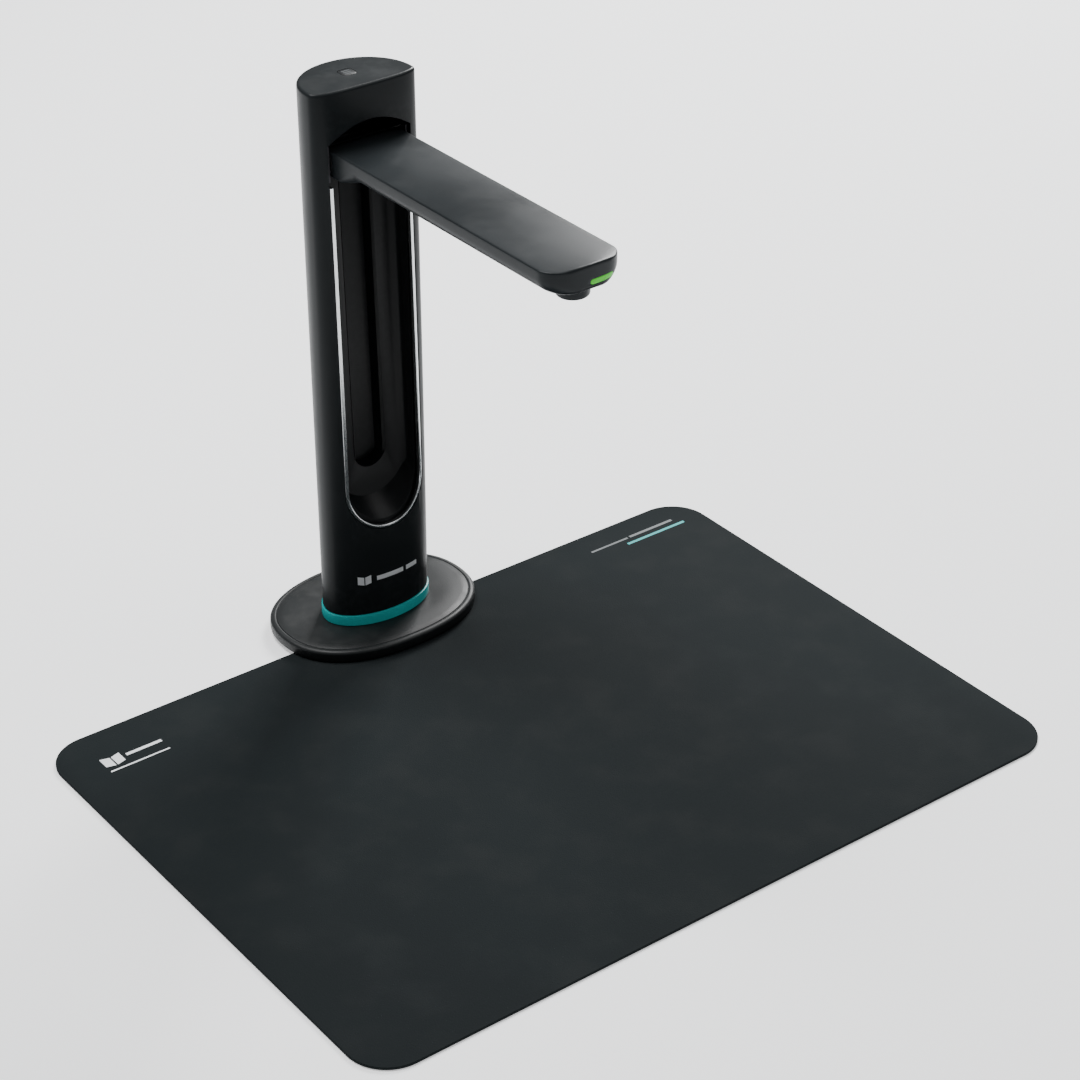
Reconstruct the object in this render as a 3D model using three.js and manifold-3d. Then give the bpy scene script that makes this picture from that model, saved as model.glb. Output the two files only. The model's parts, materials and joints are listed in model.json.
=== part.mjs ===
// Overhead book scanner: a weighted oval base, a leaning D-section column with a slot in its front,
// a camera arm that folds down into the slot, and a flat mat that marks the scanning area.
// Millimetres, +X to the right, +Y to the back, +Z up. The front of the scanner faces -Y.

import * as THREE from 'three';
import { mergeVertices } from 'three/addons/utils/BufferGeometryUtils.js';
import Module from 'manifold-3d';

const wasm = await Module();
wasm.setup();

// ---------------------------------------------------------------- driving dimensions
const GAP = 0.3;                      // clearance between neighbouring pieces
const RING_SEGMENTS = 48;             // facets round the column and the base

const MAT_WIDTH = 530;
const MAT_DEPTH = 382;
const MAT_THICKNESS = 2;
const MAT_CORNER_RADIUS = 28;

const BASE_HALF_LENGTH = 74.2;
const BASE_HALF_DEPTH = 54.5;
const BASE_ROUNDNESS = 2.26;          // superellipse power of the base outline
const BASE_CENTRE_Y = 10.4;           // behind the mat's rear edge
const BASE_UNDERSIDE_Z = 2.6;
const BASE_RIM_Z = 8.2;
const BASE_TOP_Z = 10.4;
const BASE_CROWN = 1.2;               // rise of the base's top from its rim to the column
const BASE_CROWN_RUN = 18;
const BASE_RIM_WIDTH = 4;
const BASE_WALL = 2.2;
const BASE_PLATE_THICKNESS = 1.8;
const BASE_WEIGHT_THICKNESS = 3;
const FOOT_RADIUS = 6;
const FOOT_SPREAD_X = 50;
const FOOT_SPREAD_Y = 30;
const BASE_SCREW_SPREAD_X = 34;
const BASE_SCREW_SPREAD_Y = 34;

const COLUMN_TOP_Z = 396.5;
const COLUMN_WALL = 2.4;
const COLUMN_EDGE_RADIUS = 2;
// The column's section at its foot and at its top: half width, widest line, reach forward and back,
// and the superellipse power of its front, which is an oval at the foot and nearly flat at the top.
const COLUMN_FOOT_SECTION = { half: 39.7, widestY: 6.5, front: 24, back: 26.5, roundness: 2 };
const COLUMN_TOP_SECTION = { half: 39.3, widestY: 2, front: 10.5, back: 36, roundness: 3.4 };
const COLUMN_BACK_ROUNDNESS = 2.05;

const LIGHT_RING_Z = 12;
const LIGHT_RING_HEIGHT = 7.5;
const LIGHT_RING_PROUD = 1;
const LIGHT_RING_THICKNESS = 3.2;
const COLLAR_TOP_Z = 30;

const HINGE_Z = 348.95;
const ARM_REACH = 232.4;                // hinge axis to the tip
const ARM_HALF_WIDTH = 27.4;
const ARM_THICKNESS = 19.9;           // at the root
const ARM_SLIM = 2.9;                 // how much shallower the rest of the arm is, below
const ARM_FLUSH = 0.4;                // how far the folded arm sits below the column's front
const ARM_CORNER_RADIUS = 13;
const ARM_TIP_BULGE = 4;
const ARM_EDGE_RUN = 14;              // rounding of the underside's long edges, across
const ARM_EDGE_RISE = 10;           // and up
const ARM_TIP_UNDERCUT = 1.5;
const ARM_WALL = 2;
const ARM_FLOOR_HEIGHT = 2.8;         // from the arm's underside up to the seam between its two covers
const ARM_ROOT_EDGE = 2.5;            // rounding of the underside's edges at the arm's root
const ARM_ROOT_START = 14;            // the root's full section ends this far from the hinge axis
const ARM_ROOT_END = 30;              // and has run out into the rounded section here
const ARM_BOARD_MARGIN = 6.2;

const SLOT_HALF_WIDTH = 31;
const SLOT_BOTTOM_Z = 82.5;
const SLOT_SHOULDER_Z = 362;
const SLOT_CROWN_Z = 373.5;
const TRIM_TOP_Z = 334;
const TRIM_WIDTH = 2.4;
const TRIM_THICKNESS = 4;

const TRAY_WALL = 1.6;
const TRAY_DEPTH = 21.4;              // the folded arm's thickness and its clearance
const TRAY_SCOOP_RISE = 13.5;         // how far the finger scoop climbs from the trim to the floor
const TRAY_CORNER_RADIUS = 6;
const CHANNEL_HALF_WIDTH = 11;
const CHANNEL_DEPTH = 11;
const CHANNEL_BEVEL = 1.6;
const CHANNEL_END_Z = 120;

const PIN_RADIUS = 3.2;
const WASHER_THICKNESS = 0.6;
const EAR_THICKNESS = 1.4;
const CLIP_THICKNESS = 0.6;
const CLIP_RADIUS = 4.5;
const YOKE_HEIGHT = 24;

const SPINE_THICKNESS = 2;
const SPINE_HALF_WIDTH = 20;

const BACK_COVER_HALF_WIDTH = 23;
const BACK_COVER_BOTTOM_Z = 34;
const BACK_COVER_TOP_Z = 378;

const LENS_REACH = 214.4;               // hinge axis to the camera's axis
const LENS_HOUSING_RADIUS = 10.3;
const LENS_HOUSING_DROP = 8.2;
const LENS_BARREL_RADIUS = 6.4;
const LASER_REACH = 185.4;
const LASER_RADIUS = 3;
const LIGHT_BAR_START = 66;
const LIGHT_BAR_LENGTH = 96;
const LIGHT_BAR_HALF_WIDTH = 6;
const INDICATOR_X = 8.6;
const INDICATOR_RISE = 3;           // its middle above the seam between the arm's covers
const INDICATOR_LENGTH = 17.8;
const INDICATOR_HEIGHT = 3.1;

const BUTTON_RADIUS = 5;
const BUTTON_PROUD = 1.2;
const PORT_Z = { button: 84, data: 66, accessory: 52 };

// ---------------------------------------------------------------- values worked out from them
const columnFootZ = LIGHT_RING_Z + LIGHT_RING_HEIGHT + GAP;
const lerp = THREE.MathUtils.lerp;

function columnSection(z) {
  const t = (z - LIGHT_RING_Z) / (COLUMN_TOP_Z - LIGHT_RING_Z);
  const at = key => lerp(COLUMN_FOOT_SECTION[key], COLUMN_TOP_SECTION[key], t);
  return {
    half: at('half'),
    widestY: at('widestY'),
    front: at('front'),
    back: at('back'),
    roundness: at('roundness'),
  };
}

function columnFrontY(z) {
  const section = columnSection(z);
  return section.widestY - section.front;
}

function columnBackY(z) {
  const section = columnSection(z);
  return section.widestY + section.back;
}

const lean = Math.atan2(
  columnFrontY(COLUMN_TOP_Z) - columnFrontY(LIGHT_RING_Z),
  COLUMN_TOP_Z - LIGHT_RING_Z,
);
const hingeY = columnFrontY(HINGE_Z) + ARM_THICKNESS / 2 + ARM_FLUSH;
const armTopZ = HINGE_Z + ARM_THICKNESS / 2;
const armRootBottomZ = HINGE_Z - ARM_THICKNESS / 2;
const armBottomZ = armRootBottomZ + ARM_SLIM;
const armTipY = hingeY - ARM_REACH;
const boreRadius = PIN_RADIUS + GAP;
const earInnerX = ARM_HALF_WIDTH + WASHER_THICKNESS + 2 * GAP;
const earOuterX = earInnerX + EAR_THICKNESS;
const lensY = hingeY - LENS_REACH;
const laserY = hingeY - LASER_REACH;
const channelFloorDepth = TRAY_DEPTH + CHANNEL_DEPTH;
const spineDepth = channelFloorDepth + TRAY_WALL + GAP;
const basePlateTopZ = BASE_UNDERSIDE_Z + BASE_PLATE_THICKNESS;
const baseWeightZ = basePlateTopZ + GAP;
const baseWeightTopZ = baseWeightZ + BASE_WEIGHT_THICKNESS;

// ---------------------------------------------------------------- finishes
function finish(color, roughness, metalness = 0) {
  return new THREE.MeshStandardMaterial({ color, roughness, metalness });
}


const satinBlack = finish(0x1b1e20, 0.5);
const baseBlack = finish(0x1e2122, 0.55);
const glossBlack = finish(0x050607, 0.15);
const polished = finish(0xc8ccce, 0.12, 1);
const tealGlow = finish(0x12b5b0, 0.3);
const greenGlow = finish(0x62d450, 0.3);
const whiteGlow = finish(0xdfe6ea, 0.4);
const rubberBlack = finish(0x111111, 0.9);
const steel = finish(0x9a9da0, 0.35, 1);
const castIron = finish(0x3c3d3f, 0.7, 1);
const brass = finish(0xb08d4a, 0.35, 1);
const washerPlastic = finish(0x0f1011, 0.5, 0);
const boardGreen = finish(0x0e3b24, 0.5);
const glass = finish(0x0a0d14, 0.05);
const matGrey = finish(0x24292a, 0.85);

// ---------------------------------------------------------------- solids
function toSolid(geometry) {
  const plain = geometry.index ? geometry.toNonIndexed() : geometry.clone();
  const bare = new THREE.BufferGeometry();
  bare.setAttribute('position', plain.getAttribute('position'));
  const merged = mergeVertices(bare, 1e-4);
  const triVerts = new Uint32Array(merged.index.array);
  const vertProperties = new Float32Array(merged.getAttribute('position').array);
  return new wasm.Manifold(new wasm.Mesh({ numProp: 3, vertProperties, triVerts }));
}

function toGeometry(solid) {
  const mesh = solid.getMesh();
  const geometry = new THREE.BufferGeometry();
  geometry.setAttribute('position', new THREE.BufferAttribute(mesh.vertProperties, 3));
  geometry.setIndex(new THREE.BufferAttribute(mesh.triVerts, 1));
  geometry.computeVertexNormals();
  return geometry;
}

// Each helper returns a solid in the scanner's own frame.
function extrude(shape, depth, matrix = new THREE.Matrix4(), curveSegments = 12) {
  const geometry = new THREE.ExtrudeGeometry(shape, { depth, bevelEnabled: false, curveSegments });
  geometry.applyMatrix4(matrix);
  return toSolid(geometry);
}

// A shape drawn in X and Y, standing from z.
const standing = (shape, z, height, segments) =>
  extrude(shape, height, new THREE.Matrix4().makeTranslation(0, 0, z), segments);

// A shape drawn in X and Z, running back from y.
function runningBack(shape, y, depth, segments) {
  const matrix = new THREE.Matrix4().makeRotationX(Math.PI / 2).setPosition(0, y + depth, 0);
  return extrude(shape, depth, matrix, segments);
}

// A shape drawn in Y and Z, running to the right from x.
const runningRight = (shape, x, width, segments) => extrude(
  shape,
  width,
  new THREE.Matrix4().makeBasis(
    new THREE.Vector3(0, 1, 0),
    new THREE.Vector3(0, 0, 1),
    new THREE.Vector3(1, 0, 0),
  ).setPosition(x, 0, 0),
  segments,
);

function box(x, y, z) {
  const geometry = new THREE.BoxGeometry(x[1] - x[0], y[1] - y[0], z[1] - z[0]);
  geometry.translate((x[0] + x[1]) / 2, (y[0] + y[1]) / 2, (z[0] + z[1]) / 2);
  return toSolid(geometry);
}

function cylinderZ(radius, x, y, z, height, segments = 16) {
  const geometry = new THREE.CylinderGeometry(radius, radius, height, segments);
  geometry.rotateX(Math.PI / 2);
  geometry.translate(x, y, z + height / 2);
  return toSolid(geometry);
}

function cylinderX(radius, x, width, segments = 18) {
  const geometry = new THREE.CylinderGeometry(radius, radius, width, segments);
  geometry.rotateZ(Math.PI / 2);
  geometry.translate(x + width / 2, hingeY, HINGE_Z);
  return toSolid(geometry);
}

function cylinderY(radius, x, y, z, depth, segments = 16) {
  const geometry = new THREE.CylinderGeometry(radius, radius, depth, segments);
  geometry.translate(x, y + depth / 2, z);
  return toSolid(geometry);
}

// A ring turned about an upright axis at y, from a closed profile of radius and height.
function turned(profile, y) {
  const geometry = new THREE.LatheGeometry(profile, 24);
  geometry.rotateX(Math.PI / 2);
  geometry.translate(0, y, 0);
  return toSolid(geometry);
}

function roundedRectangle(halfWidth, low, high, radius) {
  const shape = new THREE.Shape();
  shape.moveTo(-halfWidth + radius, low);
  shape.lineTo(halfWidth - radius, low);
  shape.absarc(halfWidth - radius, low + radius, radius, -Math.PI / 2, 0);
  shape.lineTo(halfWidth, high - radius);
  shape.absarc(halfWidth - radius, high - radius, radius, 0, Math.PI / 2);
  shape.lineTo(-halfWidth + radius, high);
  shape.absarc(-halfWidth + radius, high - radius, radius, Math.PI / 2, Math.PI);
  shape.lineTo(-halfWidth, low + radius);
  shape.absarc(-halfWidth + radius, low + radius, radius, Math.PI, Math.PI * 1.5);
  return shape;
}

// A tube of rings, one per row of {z, inset}, each ring drawn by outline(angle, row).
function loft(rows, outline) {
  const geometry = new THREE.CylinderGeometry(1, 1, 1, RING_SEGMENTS, rows.length - 1);
  const position = geometry.getAttribute('position');
  for (let i = 0; i < position.count; i += 1) {
    const row = rows[Math.round((position.getY(i) + 0.5) * (rows.length - 1))];
    const reach = Math.min(1, Math.hypot(position.getX(i), position.getZ(i)));
    const angle = Math.atan2(-position.getZ(i), position.getX(i));
    const centre = outline(null, row);
    const rim = outline(angle, row);
    position.setXYZ(i, lerp(centre.x, rim.x, reach), lerp(centre.y, rim.y, reach), row.z);
  }
  return toSolid(geometry);
}

const signedPower = (value, power) => Math.sign(value) * Math.abs(value) ** power;

function columnOutline(angle, row) {
  const section = columnSection(row.z);
  if (angle === null) return new THREE.Vector2(0, section.widestY);
  const forward = Math.sin(angle) < 0;
  const power = 2 / (forward ? section.roundness : COLUMN_BACK_ROUNDNESS);
  const reach = (forward ? section.front : section.back) - row.inset;
  return new THREE.Vector2(
    (section.half - row.inset) * signedPower(Math.cos(angle), power),
    section.widestY + reach * signedPower(Math.sin(angle), power),
  );
}

function baseOutline(angle, row) {
  if (angle === null) return new THREE.Vector2(0, BASE_CENTRE_Y);
  const power = 2 / BASE_ROUNDNESS;
  return new THREE.Vector2(
    (BASE_HALF_LENGTH - row.inset) * signedPower(Math.cos(angle), power),
    BASE_CENTRE_Y + (BASE_HALF_DEPTH - row.inset) * signedPower(Math.sin(angle), power),
  );
}

const columnBody = (inset, low, high) => loft([{ z: low, inset }, { z: high, inset }], columnOutline);
const baseBody = (inset, low, high) => loft([{ z: low, inset }, { z: high, inset }], baseOutline);

// Pieces inside the column lean with its front: depth is counted back from the front, along the lean.
function leaning(solid) {
  const tilt = new THREE.Matrix4().makeRotationX(-lean);
  const place = new THREE.Matrix4().makeTranslation(0, columnFrontY(HINGE_Z), HINGE_Z);
  const matrix = place.multiply(tilt).multiply(new THREE.Matrix4().makeTranslation(0, 0, -HINGE_Z));
  return shifted(solid, matrix);
}

function shifted(solid, matrix) {
  const geometry = toGeometry(solid);
  geometry.applyMatrix4(matrix);
  return toSolid(geometry);
}

// The slot's outline in X and Z: straight sides, a round bottom and a flat or arched top.
function slotShape(halfWidth, bottomZ, topZ, crownZ = topZ) {
  const shape = new THREE.Shape();
  shape.moveTo(-halfWidth, topZ);
  shape.lineTo(-halfWidth, bottomZ + halfWidth);
  shape.absarc(0, bottomZ + halfWidth, halfWidth, Math.PI, Math.PI * 2);
  shape.lineTo(halfWidth, topZ);
  if (crownZ > topZ) shape.quadraticCurveTo(0, 2 * crownZ - topZ, -halfWidth, topZ);
  return shape;
}

// ---------------------------------------------------------------- base
function baseCover() {
  const outer = loft([
    { z: BASE_UNDERSIDE_Z, inset: 0.8 },
    { z: BASE_UNDERSIDE_Z + 1, inset: 0 },
    { z: BASE_RIM_Z, inset: 0 },
    { z: BASE_TOP_Z - 0.5, inset: 1.4 },
    { z: BASE_TOP_Z, inset: BASE_RIM_WIDTH },
    { z: BASE_TOP_Z + BASE_CROWN, inset: BASE_RIM_WIDTH + BASE_CROWN_RUN },
  ], baseOutline);
  const inside = baseBody(BASE_WALL, BASE_UNDERSIDE_Z - 1, BASE_TOP_Z - BASE_WALL);
  const passage = columnBody(8, BASE_UNDERSIDE_Z, BASE_TOP_Z + BASE_CROWN + 1);
  return outer.subtract(inside).subtract(passage);
}

function baseScrewPlaces() {
  const signs = [-1, 1];
  return signs.flatMap(x => signs.map(y => ({
    name: `${y < 0 ? 'front' : 'rear'}_${x < 0 ? 'left' : 'right'}`,
    x: x * BASE_SCREW_SPREAD_X,
    y: BASE_CENTRE_Y + y * BASE_SCREW_SPREAD_Y,
  })));
}

function footPlaces() {
  const signs = [-1, 1];
  return signs.flatMap(x => signs.map(y => ({
    name: `${y < 0 ? 'front' : 'rear'}_${x < 0 ? 'left' : 'right'}`,
    x: x * FOOT_SPREAD_X,
    y: BASE_CENTRE_Y + y * FOOT_SPREAD_Y,
    bottomZ: y < 0 ? MAT_THICKNESS + GAP / 3 : 0,
  })));
}

const SCREW_RADIUS = 1.5;
const SCREW_HEAD_RADIUS = 2.8;
const SCREW_HEAD_HEIGHT = 1.2;

function basePlate() {
  let plate = baseBody(BASE_WALL + GAP, BASE_UNDERSIDE_Z, basePlateTopZ);
  for (const place of baseScrewPlaces()) {
    const sinkZ = BASE_UNDERSIDE_Z + SCREW_HEAD_HEIGHT + GAP;
    plate = plate.subtract(cylinderZ(SCREW_RADIUS + GAP, place.x, place.y, 0, basePlateTopZ + 1));
    plate = plate.subtract(cylinderZ(SCREW_HEAD_RADIUS + GAP, place.x, place.y, 0, sinkZ));
  }
  return plate;
}

function baseWeight() {
  let weight = baseBody(BASE_WALL + 3, baseWeightZ, baseWeightTopZ);
  for (const place of baseScrewPlaces()) {
    weight = weight.subtract(cylinderZ(SCREW_RADIUS + GAP, place.x, place.y, 0, BASE_TOP_Z));
  }
  return weight;
}

function baseScrew(place) {
  const head = cylinderZ(SCREW_HEAD_RADIUS, place.x, place.y, BASE_UNDERSIDE_Z, SCREW_HEAD_HEIGHT, 12);
  const length = baseWeightTopZ - BASE_UNDERSIDE_Z;
  const shank = cylinderZ(SCREW_RADIUS, place.x, place.y, BASE_UNDERSIDE_Z, length, 12);
  return head.add(shank);
}

function foot(place) {
  const height = BASE_UNDERSIDE_Z - 0.1 - place.bottomZ;
  return cylinderZ(FOOT_RADIUS, place.x, place.y, place.bottomZ, height, 20);
}

// ---------------------------------------------------------------- column
function columnWalls() {
  const outer = loft([
    { z: columnFootZ, inset: 0 },
    { z: COLUMN_TOP_Z - COLUMN_EDGE_RADIUS, inset: 0 },
    { z: COLUMN_TOP_Z - COLUMN_EDGE_RADIUS * 0.5, inset: COLUMN_EDGE_RADIUS * 0.134 },
    { z: COLUMN_TOP_Z - COLUMN_EDGE_RADIUS * 0.134, inset: COLUMN_EDGE_RADIUS * 0.5 },
    { z: COLUMN_TOP_Z, inset: COLUMN_EDGE_RADIUS },
  ], columnOutline);
  return outer.subtract(columnBody(COLUMN_WALL, columnFootZ - 1, COLUMN_TOP_Z - COLUMN_WALL));
}

const TOUCH_WINDOW_SIZE = 10;
const TOUCH_WINDOW_Y = 15;

const touchWindowShape = size => roundedRectangle(size / 2, -size / 2, size / 2, 2.5);

function backCoverShape(clearance) {
  const half = BACK_COVER_HALF_WIDTH + clearance;
  return roundedRectangle(half, BACK_COVER_BOTTOM_Z - clearance, BACK_COVER_TOP_Z + clearance, 5);
}

function columnShell() {
  const slot = slotShape(SLOT_HALF_WIDTH, SLOT_BOTTOM_Z, SLOT_SHOULDER_Z, SLOT_CROWN_Z);
  const touchHole = extrude(
    touchWindowShape(TOUCH_WINDOW_SIZE + 2 * GAP),
    COLUMN_WALL + 2,
    new THREE.Matrix4().makeTranslation(0, TOUCH_WINDOW_Y, COLUMN_TOP_Z - COLUMN_WALL - 1),
    4,
  );
  return columnWalls()
    .subtract(runningBack(slot, -60, 60, 14))
    .subtract(runningBack(backCoverShape(GAP), 10, 60, 6))
    .subtract(touchHole);
}

function backCover() {
  return columnWalls()
    .intersect(runningBack(backCoverShape(0), 10, 60, 6))
    .subtract(cylinderY(BUTTON_RADIUS + GAP, 0, 10, PORT_Z.button, 40))
    .subtract(runningBack(roundedRectangle(4.6, PORT_Z.data - 1.7, PORT_Z.data + 1.7, 1.6), 10, 40, 5))
    .subtract(cylinderY(1.8, 0, 10, PORT_Z.accessory, 40, 16));
}

function touchWindow() {
  const place = new THREE.Matrix4().makeTranslation(0, TOUCH_WINDOW_Y, COLUMN_TOP_Z - COLUMN_WALL);
  return extrude(touchWindowShape(TOUCH_WINDOW_SIZE), COLUMN_WALL, place, 4);
}

function touchBoard() {
  const topZ = COLUMN_TOP_Z - COLUMN_WALL - GAP;
  return box([-15, 15], [TOUCH_WINDOW_Y - 10, TOUCH_WINDOW_Y + 10], [topZ - 1.6, topZ]);
}

function lightRing() {
  const outer = columnBody(-LIGHT_RING_PROUD, LIGHT_RING_Z, LIGHT_RING_Z + LIGHT_RING_HEIGHT);
  const inset = LIGHT_RING_THICKNESS - LIGHT_RING_PROUD;
  return outer.subtract(columnBody(inset, LIGHT_RING_Z - 1, columnFootZ + 1));
}

function columnCollar() {
  const inset = COLUMN_WALL + GAP;
  const tube = columnBody(inset, BASE_TOP_Z + BASE_CROWN + GAP, COLLAR_TOP_Z);
  return tube.subtract(columnBody(inset + 2, BASE_TOP_Z - 1, COLLAR_TOP_Z + 1));
}

function lightRingBoard() {
  const inset = COLUMN_WALL + GAP + 2 + GAP;
  const disc = columnBody(inset, LIGHT_RING_Z + 1, LIGHT_RING_Z + 2.4);
  return disc.subtract(columnBody(inset + 3, LIGHT_RING_Z, LIGHT_RING_Z + 4));
}

function recessTrim() {
  const outer = slotShape(SLOT_HALF_WIDTH - GAP, SLOT_BOTTOM_Z + GAP, TRIM_TOP_Z);
  const inner = slotShape(SLOT_HALF_WIDTH - TRIM_WIDTH, SLOT_BOTTOM_Z + TRIM_WIDTH, TRIM_TOP_Z + 5);
  const band = runningBack(outer, -60, 60, 14).subtract(runningBack(inner, -61, 62, 14));
  const layer = columnBody(0.2, columnFootZ, COLUMN_TOP_Z).subtract(
    columnBody(0.2 + TRIM_THICKNESS, columnFootZ - 1, COLUMN_TOP_Z + 1),
  );
  return band.intersect(layer);
}

// The space in front of the tray's floor: a round-cornered trough whose lower end is a sloping scoop.
function trayHollow() {
  const half = SLOT_HALF_WIDTH - TRIM_WIDTH;
  const radius = TRAY_CORNER_RADIUS;
  const trough = new THREE.Shape();
  trough.moveTo(-half, -30);
  trough.lineTo(half, -30);
  trough.lineTo(half, TRAY_DEPTH - radius);
  trough.absarc(half - radius, TRAY_DEPTH - radius, radius, 0, Math.PI / 2);
  trough.lineTo(-half + radius, TRAY_DEPTH);
  trough.absarc(-half + radius, TRAY_DEPTH - radius, radius, Math.PI / 2, Math.PI);
  const scoop = new THREE.Matrix4().makeShear(0, 0, 0, TRAY_SCOOP_RISE / TRAY_DEPTH, 0, 0);
  const opening = slotShape(half, SLOT_BOTTOM_Z + TRIM_WIDTH, COLUMN_TOP_Z);
  const end = shifted(runningBack(opening, -40, 80, 14), scoop);
  return leaning(standing(trough, 40, COLUMN_TOP_Z, 4).intersect(end));
}

// The deeper channel down the middle of the tray, which clears the camera and the light bar.
function channelHollow() {
  const half = CHANNEL_HALF_WIDTH;
  const section = new THREE.Shape();
  section.moveTo(-half - CHANNEL_BEVEL, TRAY_DEPTH - 1);
  section.lineTo(half + CHANNEL_BEVEL, TRAY_DEPTH - 1);
  section.lineTo(half + CHANNEL_BEVEL, TRAY_DEPTH);
  section.lineTo(half, TRAY_DEPTH + CHANNEL_BEVEL);
  section.lineTo(half, channelFloorDepth);
  section.lineTo(-half, channelFloorDepth);
  section.lineTo(-half, TRAY_DEPTH + CHANNEL_BEVEL);
  section.lineTo(-half - CHANNEL_BEVEL, TRAY_DEPTH);
  const end = runningBack(slotShape(half + CHANNEL_BEVEL, CHANNEL_END_Z, COLUMN_TOP_Z), 0, 60, 8);
  return leaning(standing(section, 40, COLUMN_TOP_Z).intersect(end));
}

function recessTray() {
  const outline = slotShape(SLOT_HALF_WIDTH - GAP, SLOT_BOTTOM_Z + GAP, TRIM_TOP_Z);
  const land = TRAY_DEPTH + TRAY_WALL;
  const rib = CHANNEL_HALF_WIDTH + TRAY_WALL;
  const front = leaning(runningBack(outline, -20, 20 + land, 14));
  const back = leaning(
    runningBack(slotShape(rib, CHANNEL_END_Z - TRAY_WALL, TRIM_TOP_Z), land - 1, CHANNEL_DEPTH + 1, 8),
  );
  return front.add(back)
    .intersect(columnBody(0.2 + TRIM_THICKNESS + GAP, columnFootZ, COLUMN_TOP_Z))
    .subtract(trayHollow())
    .subtract(channelHollow());
}

// A curved dust shroud round the back of the hinge, which closes the slot behind the arm's root.
function hingeShroud() {
  const inner = ARM_THICKNESS / 2 + 1;
  const outer = inner + TRAY_WALL;
  const shape = new THREE.Shape();
  const crown = Math.PI * 0.6;
  const skirtZ = TRIM_TOP_Z + 1;
  shape.absarc(hingeY, HINGE_Z, outer, 0, crown);
  shape.absarc(hingeY, HINGE_Z, inner, crown, 0, true);
  shape.lineTo(hingeY + inner, skirtZ);
  shape.lineTo(hingeY + outer, skirtZ);
  return runningRight(shape, -ARM_HALF_WIDTH, 2 * ARM_HALF_WIDTH, 8);
}

// ---------------------------------------------------------------- frame and hinge
function spine() {
  const plate = leaning(box(
    [-SPINE_HALF_WIDTH, SPINE_HALF_WIDTH],
    [spineDepth, spineDepth + SPINE_THICKNESS],
    [40, HINGE_Z + YOKE_HEIGHT],
  ));
  const footZ = baseWeightTopZ + GAP;
  const joinY = columnFrontY(HINGE_Z) + spineDepth - (HINGE_Z - 42) * Math.tan(lean);
  const width = [-SPINE_HALF_WIDTH, SPINE_HALF_WIDTH];
  const post = box(width, [joinY, joinY + SPINE_THICKNESS], [footZ, 44]);
  const flange = box(width, [joinY - 22, joinY + 1], [footZ, footZ + SPINE_THICKNESS]);
  return plate.add(post).add(flange).subtract(yokeScrewHoles());
}

const YOKE_SCREW_X = 10;

function yokeScrewHoles() {
  const y = columnFrontY(HINGE_Z) + spineDepth;
  const hole = x => cylinderY(SCREW_RADIUS + GAP, x, y - 12, HINGE_Z, 20, 16);
  return hole(-YOKE_SCREW_X).add(hole(YOKE_SCREW_X));
}

function hingeYoke() {
  const low = HINGE_Z - YOKE_HEIGHT / 2;
  const webFrontY = hingeY + ARM_THICKNESS / 2 + 1 + TRAY_WALL + 1;
  const leanOverHalf = YOKE_HEIGHT / 2 * Math.tan(lean);
  const rearY = columnFrontY(HINGE_Z) + spineDepth - GAP - leanOverHalf;
  const shape = new THREE.Shape();
  shape.moveTo(-earOuterX, hingeY - 7);
  shape.lineTo(-earInnerX, hingeY - 7);
  shape.lineTo(-earInnerX, webFrontY);
  shape.lineTo(earInnerX, webFrontY);
  shape.lineTo(earInnerX, hingeY - 7);
  shape.lineTo(earOuterX, hingeY - 7);
  shape.lineTo(earOuterX, webFrontY + 2);
  shape.lineTo(SPINE_HALF_WIDTH, rearY);
  shape.lineTo(-SPINE_HALF_WIDTH, rearY);
  shape.lineTo(-earOuterX, webFrontY + 2);
  const clearance = columnBody(COLUMN_WALL + GAP, low - 1, low + YOKE_HEIGHT + 1);
  return standing(shape, low, YOKE_HEIGHT)
    .intersect(clearance)
    .subtract(cylinderX(boreRadius, -60, 120))
    .subtract(yokeScrewHoles())
    .subtract(recessTrayEnvelope());
}

function recessTrayEnvelope() {
  const half = SLOT_HALF_WIDTH;
  return leaning(box([-half, half], [-30, channelFloorDepth + TRAY_WALL + GAP], [60, TRIM_TOP_Z + GAP]));
}

function yokeScrew(x) {
  const y = columnFrontY(HINGE_Z) + spineDepth + SPINE_THICKNESS + GAP;
  const head = cylinderY(SCREW_HEAD_RADIUS, x, y, HINGE_Z, 1.4, 16);
  return head.add(cylinderY(SCREW_RADIUS, x, y - 8, HINGE_Z, 8.4, 16));
}

const hingePin = () => cylinderX(PIN_RADIUS, -pinHalfLength(), 2 * pinHalfLength());
const pinHalfLength = () => earOuterX + GAP + CLIP_THICKNESS + 0.1;

function ringOnPin(outerRadius, x, width) {
  return cylinderX(outerRadius, x, width).subtract(cylinderX(boreRadius, x - 1, width + 2));
}

const frictionWasher = side => ringOnPin(
  7.5,
  side < 0 ? -ARM_HALF_WIDTH - GAP - WASHER_THICKNESS : ARM_HALF_WIDTH + GAP,
  WASHER_THICKNESS,
);

const hingeClip = side => ringOnPin(
  CLIP_RADIUS,
  side < 0 ? -earOuterX - GAP - CLIP_THICKNESS : earOuterX + GAP,
  CLIP_THICKNESS,
);

// ---------------------------------------------------------------- electronics in the column
function mainBoard() {
  const depth = spineDepth + SPINE_THICKNESS + 2;
  return leaning(box([-13, 13], [depth, depth + 1.4], [112, 320]));
}

function portBoard() {
  const y = columnBackY(PORT_Z.button) - COLUMN_WALL - 9;
  return box([-16, 16], [y, y + 1.4], [PORT_Z.accessory - 9, PORT_Z.button + 9]);
}

const portBoardFaceY = columnBackY(PORT_Z.button) - COLUMN_WALL - 9 + 1.4 + GAP;

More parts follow.
